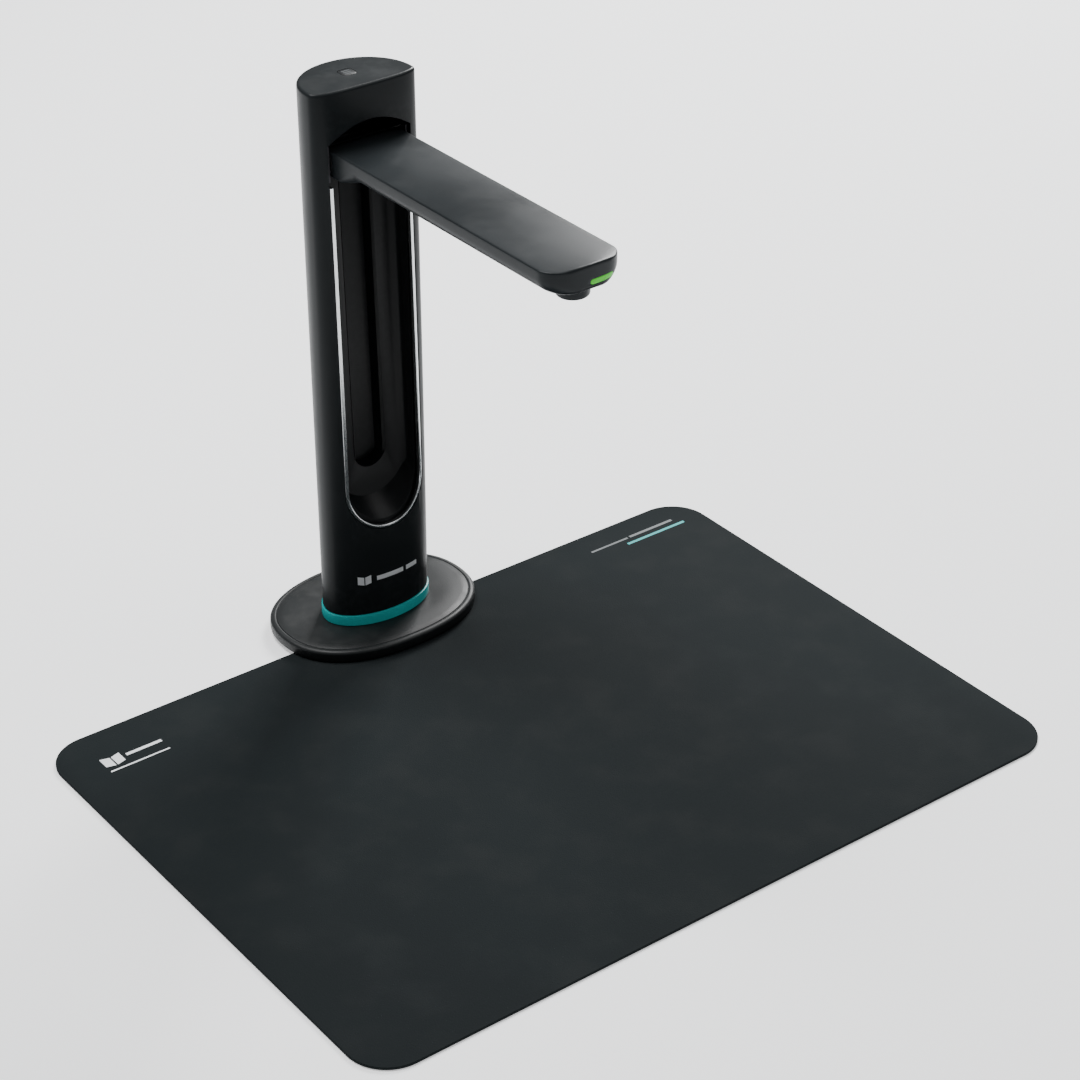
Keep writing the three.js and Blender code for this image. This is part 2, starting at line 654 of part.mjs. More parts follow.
function dataSocket() {
  const end = columnBackY(PORT_Z.data) - COLUMN_WALL - 1;
  const shell = roundedRectangle(4.5, PORT_Z.data - 1.6, PORT_Z.data + 1.6, 1.5);
  const mouth = roundedRectangle(4.15, PORT_Z.data - 1.25, PORT_Z.data + 1.25, 1.2);
  const tongue = box([-3.3, 3.3], [portBoardFaceY, end - 1], [PORT_Z.data - 0.35, PORT_Z.data + 0.35]);
  return runningBack(shell, portBoardFaceY, end - portBoardFaceY, 5)
    .subtract(runningBack(mouth, portBoardFaceY + 1, 20, 5))
    .add(tongue);
}

function accessorySocket() {
  const end = columnBackY(PORT_Z.accessory) - COLUMN_WALL - 1;
  return cylinderY(3.4, 0, portBoardFaceY, PORT_Z.accessory, end - portBoardFaceY, 20)
    .subtract(cylinderY(1.75, 0, portBoardFaceY + 1, PORT_Z.accessory, 20, 16));
}

function powerButton() {
  const faceY = columnBackY(PORT_Z.button) + BUTTON_PROUD;
  const collarY = columnBackY(PORT_Z.button) - COLUMN_WALL - GAP;
  const cap = cylinderY(BUTTON_RADIUS, 0, collarY - 1.2, PORT_Z.button, faceY - collarY + 1.2, 20);
  const collar = cylinderY(BUTTON_RADIUS + 1.4, 0, collarY - 2.2, PORT_Z.button, 1.2, 20);
  return cap.add(collar);
}

// ---------------------------------------------------------------- arm
function armPlan(inset) {
  const half = ARM_HALF_WIDTH - inset;
  const tip = armTipY + inset;
  const corner = Math.max(ARM_CORNER_RADIUS - inset, 1);
  const shape = new THREE.Shape();
  const shoulder = tip + ARM_TIP_BULGE;
  shape.moveTo(-half, hingeY + ARM_THICKNESS);
  shape.lineTo(-half, shoulder + corner);
  shape.quadraticCurveTo(-half, shoulder, -half + corner, shoulder - ARM_TIP_BULGE * 0.6);
  shape.quadraticCurveTo(0, tip - ARM_TIP_BULGE * 0.1, half - corner, shoulder - ARM_TIP_BULGE * 0.6);
  shape.quadraticCurveTo(half, shoulder, half, shoulder + corner);
  shape.lineTo(half, hingeY + ARM_THICKNESS);
  return shape;
}

function armSection(inset, bottomZ, run, fullRise) {
  const half = ARM_HALF_WIDTH - inset;
  const top = armTopZ - inset;
  const bottom = bottomZ + inset;
  const edge = 0.8;
  const rise = Math.min(fullRise, top - bottom - 2 * edge);
  const shape = new THREE.Shape();
  shape.moveTo(-half + edge, top);
  shape.lineTo(-half, top - edge);
  shape.lineTo(-half, bottom + rise);
  shape.absellipse(-half + run, bottom + rise, run, rise, Math.PI, Math.PI * 1.5);
  shape.lineTo(half - run, bottom);
  shape.absellipse(half - run, bottom + rise, run, rise, -Math.PI / 2, 0);
  shape.lineTo(half, top - edge);
  shape.lineTo(half - edge, top);
  return shape;
}

function armProfile(inset) {
  const radius = ARM_THICKNESS / 2 - inset;
  const tip = armTipY - 1 + inset;
  const undercut = ARM_TIP_UNDERCUT;
  const shape = new THREE.Shape();
  shape.moveTo(tip, armTopZ - inset);
  shape.lineTo(tip, armBottomZ + inset + undercut);
  shape.quadraticCurveTo(tip, armBottomZ + inset, tip + undercut + 2, armBottomZ + inset);
  shape.lineTo(hingeY - 2 * ARM_ROOT_END, armBottomZ + inset);
  shape.lineTo(hingeY - 2 * ARM_ROOT_END, armRootBottomZ + inset);
  shape.lineTo(hingeY, armRootBottomZ + inset);
  shape.absarc(hingeY, HINGE_Z, radius, -Math.PI / 2, Math.PI / 2);
  return shape;
}

// The root's outline in Y and Z: its underside slopes up to meet the arm's rounded section.
function armRootShape(inset) {
  const slopeShift = 1.6 * inset;     // keeps the sloping wall's thickness
  const shape = new THREE.Shape();
  shape.moveTo(hingeY + ARM_THICKNESS, armRootBottomZ - 1);
  shape.lineTo(hingeY + ARM_THICKNESS, armTopZ + 1);
  shape.lineTo(hingeY - ARM_ROOT_END + slopeShift, armTopZ + 1);
  shape.lineTo(hingeY - ARM_ROOT_END + slopeShift, armBottomZ + ARM_EDGE_RISE);
  shape.lineTo(hingeY - ARM_ROOT_START + slopeShift, armRootBottomZ - 1);
  return shape;
}

function armBody(inset) {
  const plan = standing(armPlan(inset), armRootBottomZ - 5, ARM_THICKNESS + 10, 6);
  const profile = runningRight(armProfile(inset), -40, 80, 8);
  const along = [armTipY - 20, ARM_REACH + 60];
  const rounded = runningBack(armSection(inset, armBottomZ, ARM_EDGE_RUN, ARM_EDGE_RISE), ...along, 5);
  const root = runningBack(armSection(inset, armRootBottomZ, ARM_ROOT_EDGE, ARM_ROOT_EDGE), ...along, 3)
    .intersect(runningRight(armRootShape(inset), -40, 80, 1));
  return plan.intersect(profile).intersect(rounded.add(root));
}

const armSeamZ = armBottomZ + ARM_FLOOR_HEIGHT;
const armFloorRearY = hingeY - ARM_ROOT_END - 2;
const KNUCKLE_FRONT = 30;

function armHollow() {
  return armBody(ARM_WALL).subtract(box([-60, 60], [hingeY - 3, 80], [armRootBottomZ, armTopZ + 20]));
}

function armUpperCover() {
  const floor = box([-60, 60], [armTipY - 20, armFloorRearY + GAP], [armBottomZ - 5, armSeamZ + GAP / 2]);
  return armBody(0)
    .subtract(floor)
    .subtract(armHollow())
    .subtract(knuckleSpace(GAP))
    .subtract(cylinderX(boreRadius, -60, 120))
    .subtract(shifted(runningBack(indicatorShape(GAP), armTipY - 10, 16, 4), indicatorPlace));
}

function indicatorShape(clearance) {
  const half = INDICATOR_LENGTH / 2 + clearance;
  const z = armSeamZ + INDICATOR_RISE;
  const rise = INDICATOR_HEIGHT / 2 + clearance;
  return roundedRectangle(half, z - rise, z + rise, rise - 0.05);
}

const indicatorPlace = new THREE.Matrix4().makeTranslation(INDICATOR_X, 0, 0);

function indicatorLens() {
  const bar = shifted(runningBack(indicatorShape(0), armTipY - 10, 14, 4), indicatorPlace);
  return bar.intersect(armBody(0));
}

function lightBarShape(clearance) {
  const half = LIGHT_BAR_HALF_WIDTH + clearance;
  const start = hingeY - LIGHT_BAR_START - LIGHT_BAR_LENGTH - clearance;
  return roundedRectangle(half, start, start + LIGHT_BAR_LENGTH + 2 * clearance, half - 0.05);
}

function armLowerShell() {
  const floor = box([-60, 60], [armTipY - 20, armFloorRearY], [armBottomZ - 5, armSeamZ - GAP / 2]);
  return armBody(0)
    .intersect(floor)
    .subtract(armHollow())
    .subtract(cylinderZ(LENS_BARREL_RADIUS + GAP, 0, lensY, armBottomZ - 1, ARM_WALL + 2))
    .subtract(cylinderZ(LASER_RADIUS + GAP, 0, laserY, armBottomZ - 1, ARM_WALL + 2))
    .subtract(standing(lightBarShape(GAP), armBottomZ - 1, ARM_WALL + 2, 4));
}

function knuckleSpace(clearance) {
  const half = ARM_HALF_WIDTH - ARM_WALL - 3 + clearance;
  const low = armRootBottomZ + ARM_WALL + GAP - clearance;
  const high = armTopZ - ARM_WALL - GAP + clearance;
  const front = box([-half, half], [hingeY - KNUCKLE_FRONT - clearance, hingeY], [low, high]);
  const barrel = cylinderX((high - low) / 2, -half, 2 * half);
  const drop = (high + low) / 2 - HINGE_Z;
  const centred = shifted(barrel, new THREE.Matrix4().makeTranslation(0, 0, drop));
  const core = cylinderX(0.5, -half, 2 * half);
  return front.intersect(armBody(ARM_WALL + GAP - clearance).add(core)).add(centred);
}

const hingeKnuckle = () => knuckleSpace(0).subtract(cylinderX(boreRadius, -60, 120));

function lensHousing() {
  const bottomZ = armBottomZ - LENS_HOUSING_DROP;
  const radius = LENS_HOUSING_RADIUS;
  const profile = [
    new THREE.Vector2(LENS_BARREL_RADIUS + GAP, bottomZ),
    new THREE.Vector2(radius - 2, bottomZ),
    new THREE.Vector2(radius - 0.6, bottomZ + 0.6),
    new THREE.Vector2(radius, bottomZ + 2),
    new THREE.Vector2(radius, armBottomZ - 0.1),
    new THREE.Vector2(LENS_BARREL_RADIUS + GAP, armBottomZ - 0.1),
    new THREE.Vector2(LENS_BARREL_RADIUS + GAP, bottomZ),
  ];
  return turned(profile, lensY);
}

function lensBarrel() {
  const bottomZ = armBottomZ - LENS_HOUSING_DROP + 2.2;
  const barrel = cylinderZ(LENS_BARREL_RADIUS, 0, lensY, bottomZ, armBoardZ() - GAP - bottomZ, 20);
  return barrel.subtract(cylinderZ(LENS_BARREL_RADIUS - 2, 0, lensY, bottomZ - 1, 3, 16));
}

function lensGlass() {
  const bottomZ = armBottomZ - LENS_HOUSING_DROP + 0.6;
  return cylinderZ(LENS_BARREL_RADIUS, 0, lensY, bottomZ, 1.2, 20);
}

const armBoardZ = () => armTopZ - 5.7;

function armBoard() {
  const half = ARM_HALF_WIDTH - ARM_BOARD_MARGIN;
  const y = [armTipY + 14, hingeY - KNUCKLE_FRONT - 2];
  return box([-half, half], y, [armBoardZ(), armBoardZ() + 1.2]);
}

const lightBarLens = () => standing(lightBarShape(0), armBottomZ, ARM_WALL, 4).intersect(armBody(0));

function lightBarBoard() {
  const z = armBottomZ + ARM_WALL + 1.5;
  const start = hingeY - LIGHT_BAR_START - LIGHT_BAR_LENGTH;
  const width = [-LIGHT_BAR_HALF_WIDTH, LIGHT_BAR_HALF_WIDTH];
  return box(width, [start, start + LIGHT_BAR_LENGTH], [z, z + 1.2]);
}

function laserModule() {
  const z = armBottomZ + 0.6;
  return cylinderZ(LASER_RADIUS, 0, laserY, z, armBoardZ() - GAP - z, 20);
}

// ---------------------------------------------------------------- mat
const scanMat = () => standing(
  roundedRectangle(MAT_WIDTH / 2, -MAT_DEPTH, 0, MAT_CORNER_RADIUS),
  0,
  MAT_THICKNESS,
  8,
);

// ---------------------------------------------------------------- assembly
const scanner = new THREE.Group();

function add(name, solid, material) {
  const mesh = new THREE.Mesh(toGeometry(solid), material);
  mesh.name = name;
  scanner.add(mesh);
}

add('base_cover', baseCover(), baseBlack);
add('base_plate', basePlate(), steel);
add('base_weight', baseWeight(), castIron);
for (const place of footPlaces()) add(`foot_${place.name}`, foot(place), rubberBlack);
for (const place of baseScrewPlaces()) add(`base_screw_${place.name}`, baseScrew(place), steel);
add('light_ring', lightRing(), tealGlow);
add('light_ring_board', lightRingBoard(), boardGreen);
add('column_collar', columnCollar(), satinBlack);
add('column_shell', columnShell(), satinBlack);
add('back_cover', backCover(), satinBlack);
add('recess_trim', recessTrim(), polished);
add('recess_tray', recessTray(), glossBlack);
add('touch_window', touchWindow(), whiteGlow);
add('touch_board', touchBoard(), boardGreen);
add('spine', spine(), steel);
add('hinge_yoke', hingeYoke(), castIron);
add('hinge_shroud', hingeShroud(), glossBlack);
add('yoke_screw_left', yokeScrew(-YOKE_SCREW_X), steel);
add('yoke_screw_right', yokeScrew(YOKE_SCREW_X), steel);
add('hinge_pin', hingePin(), steel);
add('hinge_clip_left', hingeClip(-1), steel);
add('hinge_clip_right', hingeClip(1), steel);
add('friction_washer_left', frictionWasher(-1), washerPlastic);
add('friction_washer_right', frictionWasher(1), washerPlastic);
add('main_board', mainBoard(), boardGreen);
add('port_board', portBoard(), boardGreen);
add('data_socket', dataSocket(), steel);
add('accessory_socket', accessorySocket(), rubberBlack);
add('power_button', powerButton(), satinBlack);
add('arm_upper_cover', armUpperCover(), satinBlack);
add('arm_lower_shell', armLowerShell(), satinBlack);
add('hinge_knuckle', hingeKnuckle(), steel);
add('lens_housing', lensHousing(), satinBlack);
add('lens_barrel', lensBarrel(), rubberBlack);
add('lens_glass', lensGlass(), glass);
add('arm_board', armBoard(), boardGreen);
add('light_bar_lens', lightBarLens(), whiteGlow);
add('light_bar_board', lightBarBoard(), boardGreen);
add('laser_module', laserModule(), brass);
add('indicator_lens', indicatorLens(), greenGlow);
add('scan_mat', scanMat(), matGrey);

// The origin is the middle of the whole scanner's footprint, at the level of the table.
const depthMiddle = (BASE_CENTRE_Y + BASE_HALF_DEPTH - MAT_DEPTH) / 2;
scanner.position.y = -depthMiddle;

export default scanner;
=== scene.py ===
"""A desktop overhead book scanner: its stand, its folding camera arm and its mat, with their finishes."""

import json
import math

import bmesh
import bpy
from mathutils import Matrix, Vector


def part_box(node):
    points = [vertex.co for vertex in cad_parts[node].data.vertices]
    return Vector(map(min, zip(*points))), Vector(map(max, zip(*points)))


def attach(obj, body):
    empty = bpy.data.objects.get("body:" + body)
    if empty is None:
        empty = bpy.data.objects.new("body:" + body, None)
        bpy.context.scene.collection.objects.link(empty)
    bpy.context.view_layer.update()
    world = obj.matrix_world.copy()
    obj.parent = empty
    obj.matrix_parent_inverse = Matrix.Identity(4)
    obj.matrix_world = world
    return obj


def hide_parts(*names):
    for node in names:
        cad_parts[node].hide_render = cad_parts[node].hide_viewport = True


bl_info = {
    "name": "Book Scanner",
    "version": (1, 0, 0),
    "blender": (4, 5, 0),
    "location": "3D View > Sidebar > Scanner",
    "description": "Builds an overhead book scanner round its fixed frame",
    "category": "Object",
}

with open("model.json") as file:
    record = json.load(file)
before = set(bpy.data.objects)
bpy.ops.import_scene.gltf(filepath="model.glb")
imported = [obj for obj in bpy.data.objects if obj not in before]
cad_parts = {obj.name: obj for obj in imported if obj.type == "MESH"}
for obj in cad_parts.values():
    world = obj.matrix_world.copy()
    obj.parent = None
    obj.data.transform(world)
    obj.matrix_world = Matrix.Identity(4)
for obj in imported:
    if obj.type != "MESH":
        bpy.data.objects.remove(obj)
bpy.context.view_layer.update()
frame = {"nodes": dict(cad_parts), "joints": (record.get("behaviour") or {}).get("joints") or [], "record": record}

# ---------------------------------------------------------------- the datum
# Shapes are drawn in millimetres from the datum: the column's centre line and the mat's rear edge,
# at the level of the table. TO_FRAME puts them in the frame, in metres.
MM = 0.001
COLUMN_SIDES = [corner.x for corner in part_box("column_shell")]
DATUM = Vector((sum(COLUMN_SIDES) / 2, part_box("scan_mat")[1].y, 0))
TO_FRAME = Matrix.Translation(DATUM) @ Matrix.Scale(MM, 4)
TO_DATUM = TO_FRAME.inverted()


def box_of(node):
    """A frame node's lowest and highest corners, in millimetres from the datum."""
    low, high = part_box(node)
    return TO_DATUM @ low, TO_DATUM @ high


def joint_place(name):
    """A joint's axis point, in millimetres from the datum."""
    joint = next(j for j in frame["joints"] if j["name"] == name)
    return TO_DATUM @ Vector(joint["pos_m"])


GAP = 0.3
BASE_LOW, BASE_HIGH = box_of("base_cover")
SHELL_LOW, SHELL_HIGH = box_of("column_shell")
RING_LOW, RING_HIGH = box_of("light_ring")
TRIM_LOW, TRIM_HIGH = box_of("recess_trim")
BACK_LOW, BACK_HIGH = box_of("back_cover")
TOUCH_LOW, TOUCH_HIGH = box_of("touch_window")
COVER_LOW, COVER_HIGH = box_of("arm_upper_cover")
FLOOR_LOW, FLOOR_HIGH = box_of("arm_lower_shell")
HOUSING_LOW, HOUSING_HIGH = box_of("lens_housing")
BARREL_LOW, BARREL_HIGH = box_of("lens_barrel")
GLASS_LOW, GLASS_HIGH = box_of("lens_glass")
LAMP_LOW, LAMP_HIGH = box_of("light_bar_lens")
LASER_LOW, LASER_HIGH = box_of("laser_module")
SIGNAL_LOW, SIGNAL_HIGH = box_of("indicator_lens")
BUTTON_LOW, BUTTON_HIGH = box_of("power_button")
DATA_LOW, DATA_HIGH = box_of("data_socket")
ACCESSORY_LOW, ACCESSORY_HIGH = box_of("accessory_socket")
SHROUD_LOW, SHROUD_HIGH = box_of("hinge_shroud")
MAT_LOW, MAT_HIGH = box_of("scan_mat")
HINGE = joint_place("arm_fold")

# The column's section at its foot and at its top: half width, widest line, reach forward and back,
# and the power of its front's curve, an oval at the foot and nearly flat at the top.
FOOT_SECTION = {"half": 39.7, "widest": 6.5, "front": 24, "back": 26.5, "power": 2.0}
TOP_SECTION = {"half": 39.3, "widest": 2, "front": 10.5, "back": 36, "power": 3.4}
BACK_POWER = 2.05
BACK_CORNER = 5
BUTTON_HOLE = 5.3
BUTTON_COLLAR = 6.4
ACCESSORY_HOLE = 1.8
BASE_POWER = 2.26
BASE_SHOULDER = 8.2
BASE_RIM_TOP = 10.4
BASE_WALL = 2.2
COLUMN_WALL = 2.4
COLUMN_EDGE = 2
SLOT_HALF = 31
SLOT_BOTTOM = TRIM_LOW.z - GAP
SLOT_SHOULDER = 362
SLOT_CROWN = 373.5
TRIM_WIDTH = 2.4
TRIM_DEPTH = 4
TRIM_SINK = 0.2
TRAY_DEPTH = 21.4
TRAY_WALL = 1.6
TRAY_CORNER = 6
SCOOP_RISE = 13.5
CHANNEL_HALF = 11
CHANNEL_DEPTH = 11
CHANNEL_BEVEL = 1.6
CHANNEL_END = 120
ARM_SLIM = 2.9
ARM_EDGE_RUN = 14
ARM_EDGE_RISE = 10
ARM_CORNER = 13
ARM_BULGE = 4
ARM_BULGE_RUN = 38
ARM_UNDERCUT = 1.5
ARM_UNDERCUT_RUN = 6
ARM_WALL = 2
ARM_ROOT_EDGE = 2.5
ARM_ROOT_START = 14
ARM_ROOT_END = 30
ARM_CROWN = 1
MAT_CORNER = 28


# ---------------------------------------------------------------- outlines
def arc(x, y, across, up, start, end, steps):
    """Points on an elliptical arc about x, y, from start to end in degrees."""
    angles = [math.radians(start + (end - start) * i / steps) for i in range(steps + 1)]
    return [(x + across * math.cos(a), y + up * math.sin(a)) for a in angles]


def rounded_outline(half, low, high, radius, middle=0.0, steps=8):
    """A rectangle with round corners, anticlockwise."""
    left, right = middle - half + radius, middle + half - radius
    return (
        arc(right, low + radius, radius, radius, -90, 0, steps)
        + arc(right, high - radius, radius, radius, 0, 90, steps)
        + arc(left, high - radius, radius, radius, 90, 180, steps)
        + arc(left, low + radius, radius, radius, 180, 270, steps)
    )


def slot_outline(half, bottom, top, crown=None, steps=64):
    """Straight sides, a round bottom, and a flat top or one arched up to crown."""
    outline = arc(0, bottom + half, half, half, 180, 360, steps)
    outline.append((half, top))
    if crown is not None:
        for i in range(1, steps):
            t = i / steps
            outline.append((half * (1 - 2 * t), top + 4 * t * (1 - t) * (crown - top)))
    outline.append((-half, top))
    return outline


def power_point(angle, half, reach, power):
    """A point on a superellipse, at that angle in radians."""
    x, y = math.cos(angle), math.sin(angle)
    return (
        math.copysign(half * abs(x) ** (2 / power), x),
        math.copysign(reach * abs(y) ** (2 / power), y),
    )


def column_section(z):
    """The column's section at that height."""
    t = (z - RING_LOW.z) / (SHELL_HIGH.z - RING_LOW.z)
    return {key: FOOT_SECTION[key] * (1 - t) + TOP_SECTION[key] * t for key in FOOT_SECTION}


def column_front(x, z, inset=0.0):
    """How far forward the column's front lies at x, z."""
    section = column_section(z)
    across = min(1, abs(x) / (section["half"] - inset))
    power = section["power"]
    return section["widest"] - (section["front"] - inset) * (1 - across**power) ** (1 / power)


def column_ring(z, inset=0.0, steps=160):
    """Points round the column at that height, inside its outer skin by inset."""
    section = column_section(z)
    ring = []
    for i in range(steps):
        angle = math.tau * i / steps
        forward = math.sin(angle) < 0
        reach = section["front" if forward else "back"] - inset
        power = section["power"] if forward else BACK_POWER
        x, y = power_point(angle, section["half"] - inset, reach, power)
        ring.append((x, section["widest"] + y, z))
    return ring


def base_ring(z, inset=0.0, steps=160):
    """Points round the base at that height, inside its edge by inset."""
    half = (BASE_HIGH.x - BASE_LOW.x) / 2
    reach = (BASE_HIGH.y - BASE_LOW.y) / 2
    middle = (BASE_HIGH.y + BASE_LOW.y) / 2
    ring = []
    for i in range(steps):
        x, y = power_point(math.tau * i / steps, half - inset, reach - inset, BASE_POWER)
        ring.append((x, middle + y, z))
    return ring


def lean_matrix():
    """Turns the tray's drawing, depth back along Y and height along Z, to lean with the column's front."""
    rise = SHELL_HIGH.z - RING_LOW.z
    lean = math.atan2(column_front(0, SHELL_HIGH.z) - column_front(0, RING_LOW.z), rise)
    place = Matrix.Translation((0, column_front(0, HINGE.z), HINGE.z))
    return place @ Matrix.Rotation(-lean, 4, "X") @ Matrix.Translation((0, 0, -HINGE.z))


# ---------------------------------------------------------------- solids, in millimetres
PRISM_AXES = {
    "X": lambda a, b, c: (c, a, b),
    "Y": lambda a, b, c: (a, c, b),
    "Z": lambda a, b, c: (a, b, c),
}


def draft(bm, name="draft"):
    """A scratch object in millimetres, its faces turned outwards."""
    bmesh.ops.recalc_face_normals(bm, faces=bm.faces[:])
    mesh = bpy.data.meshes.new(name)
    bm.to_mesh(mesh)
    bm.free()
    obj = bpy.data.objects.new(name, mesh)
    bpy.context.scene.collection.objects.link(obj)
    return obj


def prism(outline, axis, low, high):
    """A closed solid run along an axis from a flat outline."""
    bm = bmesh.new()
    place = PRISM_AXES[axis]
    corners = [bm.verts.new(place(a, b, low)) for a, b in outline]
    face = bm.faces.new(corners)
    grown = bmesh.ops.extrude_face_region(bm, geom=[face])["geom"]
    run = Vector(place(0, 0, high - low))
    bmesh.ops.translate(bm, vec=run, verts=[g for g in grown if isinstance(g, bmesh.types.BMVert)])
    bmesh.ops.remove_doubles(bm, verts=bm.verts[:], dist=1e-4)
    return draft(bm)


def block(x, y, z):
    """A plain box from three pairs of limits, for cutting."""
    return prism([(x[0], y[0]), (x[1], y[0]), (x[1], y[1]), (x[0], y[1])], "Z", *z)


def loft(rings, low_cap=False, high_cap=False, closed=False):
    """A skin through rings of points, grown from a circle one ring at a time."""
    bm = bmesh.new()
    step = bm.verts.layers.int.new("step")
    verts = bmesh.ops.create_circle(bm, segments=len(rings[0]), radius=1)["verts"]
    for i, vert in enumerate(verts):
        vert[step] = i
        vert.co = rings[0][i]
    first = bm.edges[:]
    ring = first
    for points in rings[1:] + (rings[:1] if closed else []):
        grown = bmesh.ops.extrude_edge_only(bm, edges=ring)["geom"]
        new = {g for g in grown if isinstance(g, bmesh.types.BMVert)}
        for vert in new:
            vert.co = points[vert[step]]
        ring = [g for g in grown if isinstance(g, bmesh.types.BMEdge) and new.issuperset(g.verts)]
    if closed:
        bmesh.ops.remove_doubles(bm, verts=bm.verts[:], dist=1e-4)
    if low_cap:
        bmesh.ops.contextual_create(bm, geom=first)
    if high_cap:
        bmesh.ops.contextual_create(bm, geom=ring)
    return draft(bm)


def turned(profile, place, steps=64, axis="Z"):
    """A solid spun from a profile of (radius, height) about an upright axis, or one lying along Y."""
    bm = bmesh.new()
    verts = [bm.verts.new((radius, 0, height)) for radius, height in profile]
    edges = [bm.edges.new(pair) for pair in zip(verts, verts[1:])]
    bmesh.ops.spin(
        bm, geom=verts + edges, cent=(0, 0, 0), axis=(0, 0, 1), angle=math.tau, steps=steps, use_merge=True
    )
    bmesh.ops.remove_doubles(bm, verts=bm.verts[:], dist=1e-4)
    if axis == "Y":
        bmesh.ops.transform(bm, matrix=Matrix.Rotation(-math.pi / 2, 4, "X"), verts=bm.verts[:])
    bmesh.ops.translate(bm, vec=place, verts=bm.verts[:])
    return draft(bm)


def settle(obj):
    """Applies an object's modifiers to its mesh."""
    bpy.context.view_layer.update()
    shown = obj.evaluated_get(bpy.context.evaluated_depsgraph_get())
    mesh = bpy.data.meshes.new_from_object(shown)
    obj.modifiers.clear()
    obj.data = mesh
    return obj


def combine(body, tools, operation="DIFFERENCE"):
    """Cuts the tools from the body, or joins or intersects them with it, and uses them up."""
    for tool in tools:
        modifier = body.modifiers.new("combine", "BOOLEAN")
        modifier.operation = operation
        modifier.solver = "EXACT"
        modifier.object = tool
    settle(body)
    for tool in tools:
        bpy.data.objects.remove(tool)
    return body


def moved(obj, matrix):
    """The same draft, moved by a matrix."""
    obj.data.transform(matrix)
    return obj


def walled(obj, thickness):
    """Gives a skin a wall on its inner side."""
    modifier = obj.modifiers.new("wall", "SOLIDIFY")
    modifier.thickness = thickness
    modifier.offset = -1
    modifier.use_even_offset = True
    return settle(obj)


def eased(obj, width, segments=2, angle=40):
    """Breaks the sharp edges of a draft."""
    modifier = obj.modifiers.new("ease", "BEVEL")
    modifier.width = width
    modifier.segments = segments
    modifier.limit_method = "ANGLE"
    modifier.angle_limit = math.radians(angle)
    modifier.use_clamp_overlap = True
    modifier.harden_normals = False
    return settle(obj)


def piece(obj, name, body, slot, replaces=None, smooth=32, finish=None):
    """Puts a draft in the frame as a named piece that rides on a body, in its slot's finish or another."""
    obj.name = name
    obj.data.name = name
    obj.data.transform(TO_FRAME)
    obj.data.shade_smooth()
    obj.data.set_sharp_from_angle(angle=math.radians(smooth))
    obj.data.materials.clear()
    obj.data.materials.append(finish or finish_for(slot))
    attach(obj, body)
    if replaces:
        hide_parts(*replaces)
    return obj


# ---------------------------------------------------------------- node groups
def new_group(name, numbers, outputs):
    """An empty shader group with named number inputs and outputs, or the one already made."""
    found = bpy.data.node_groups.get(name)
    if found:
        return found, None, None
    group = bpy.data.node_groups.new(name, "ShaderNodeTree")
    for label, value in numbers.items():
        socket = group.interface.new_socket(label, in_out="INPUT", socket_type="NodeSocketFloat")
        socket.default_value = value
    for label in outputs:
        group.interface.new_socket(label, in_out="OUTPUT", socket_type="NodeSocketFloat")
    entry = group.nodes.new("NodeGroupInput")
    leave = group.nodes.new("NodeGroupOutput")
    return group, entry, leave


def add_node(tree, kind, **settings):
    """A new node: settings named for its inputs are set or linked, the rest are its own properties."""
    node = tree.nodes.new(kind)
    for key, value in settings.items():
        if hasattr(node, key) and not isinstance(value, bpy.types.NodeSocket):
            setattr(node, key, value)
            continue
        socket = node.inputs[int(key[2:]) if key.startswith("in") else key.replace("_", " ").title()]
        if isinstance(value, bpy.types.NodeSocket):
            tree.links.new(value, socket)
        else:
            socket.default_value = value
    return node


def math_node(tree, operation, first, second, clamp=False):
    """The value of two numbers or sockets put through a Math node."""
    node = add_node(tree, "ShaderNodeMath", operation=operation, in0=first, in1=second, use_clamp=clamp)
    return node.outputs[0]


def object_place(tree):
    """Where a point lies on its own object."""
    return add_node(tree, "ShaderNodeTexCoord").outputs["Object"]


def ramp(tree, value, low, high):
    """A value spread from 0 at low to 1 at high."""
    smooth = "SMOOTHSTEP"
    node = add_node(tree, "ShaderNodeMapRange", interpolation_type=smooth, in0=value, in1=low, in2=high)
    return node.outputs["Result"]


def grain_group():
    """Fine moulded grain over slow, soft mottling."""
    numbers = {"Scale": 1800.0, "Mottle Scale": 14.0}
    group, entry, leave = new_group("Moulded Grain", numbers, ["Height", "Mottle"])
    if entry is None:
        return group
    place = object_place(group)
    fine = add_node(group, "ShaderNodeTexNoise", vector=place, scale=entry.outputs["Scale"], detail=3.0)
    cells = add_node(group, "ShaderNodeTexVoronoi", vector=place, scale=entry.outputs["Scale"])
    height = math_node(group, "ADD", fine.outputs[0], cells.outputs["Distance"])
    coarse = entry.outputs["Mottle Scale"]
    slow = add_node(group, "ShaderNodeTexNoise", vector=place, scale=coarse, detail=4.0)
    group.links.new(height, leave.inputs["Height"])
    group.links.new(ramp(group, slow.outputs[0], 0.3, 0.7), leave.inputs["Mottle"])
    return group


def wear_group():
    """Rubbed edges: a mask that follows raised edges, broken up by noise."""
    group, entry, leave = new_group("Edge Wear", {"Amount": 0.3, "Scale": 220.0}, ["Wear"])
    if entry is None:
        return group
    place = object_place(group)
    edge = ramp(group, add_node(group, "ShaderNodeNewGeometry").outputs["Pointiness"], 0.53, 0.62)
    noise = add_node(group, "ShaderNodeTexNoise", vector=place, scale=entry.outputs["Scale"], detail=5.0)
    broken = math_node(group, "MULTIPLY", edge, ramp(group, noise.outputs[0], 0.4, 0.65))
    group.links.new(math_node(group, "MULTIPLY", broken, entry.outputs["Amount"]), leave.inputs["Wear"])
    return group


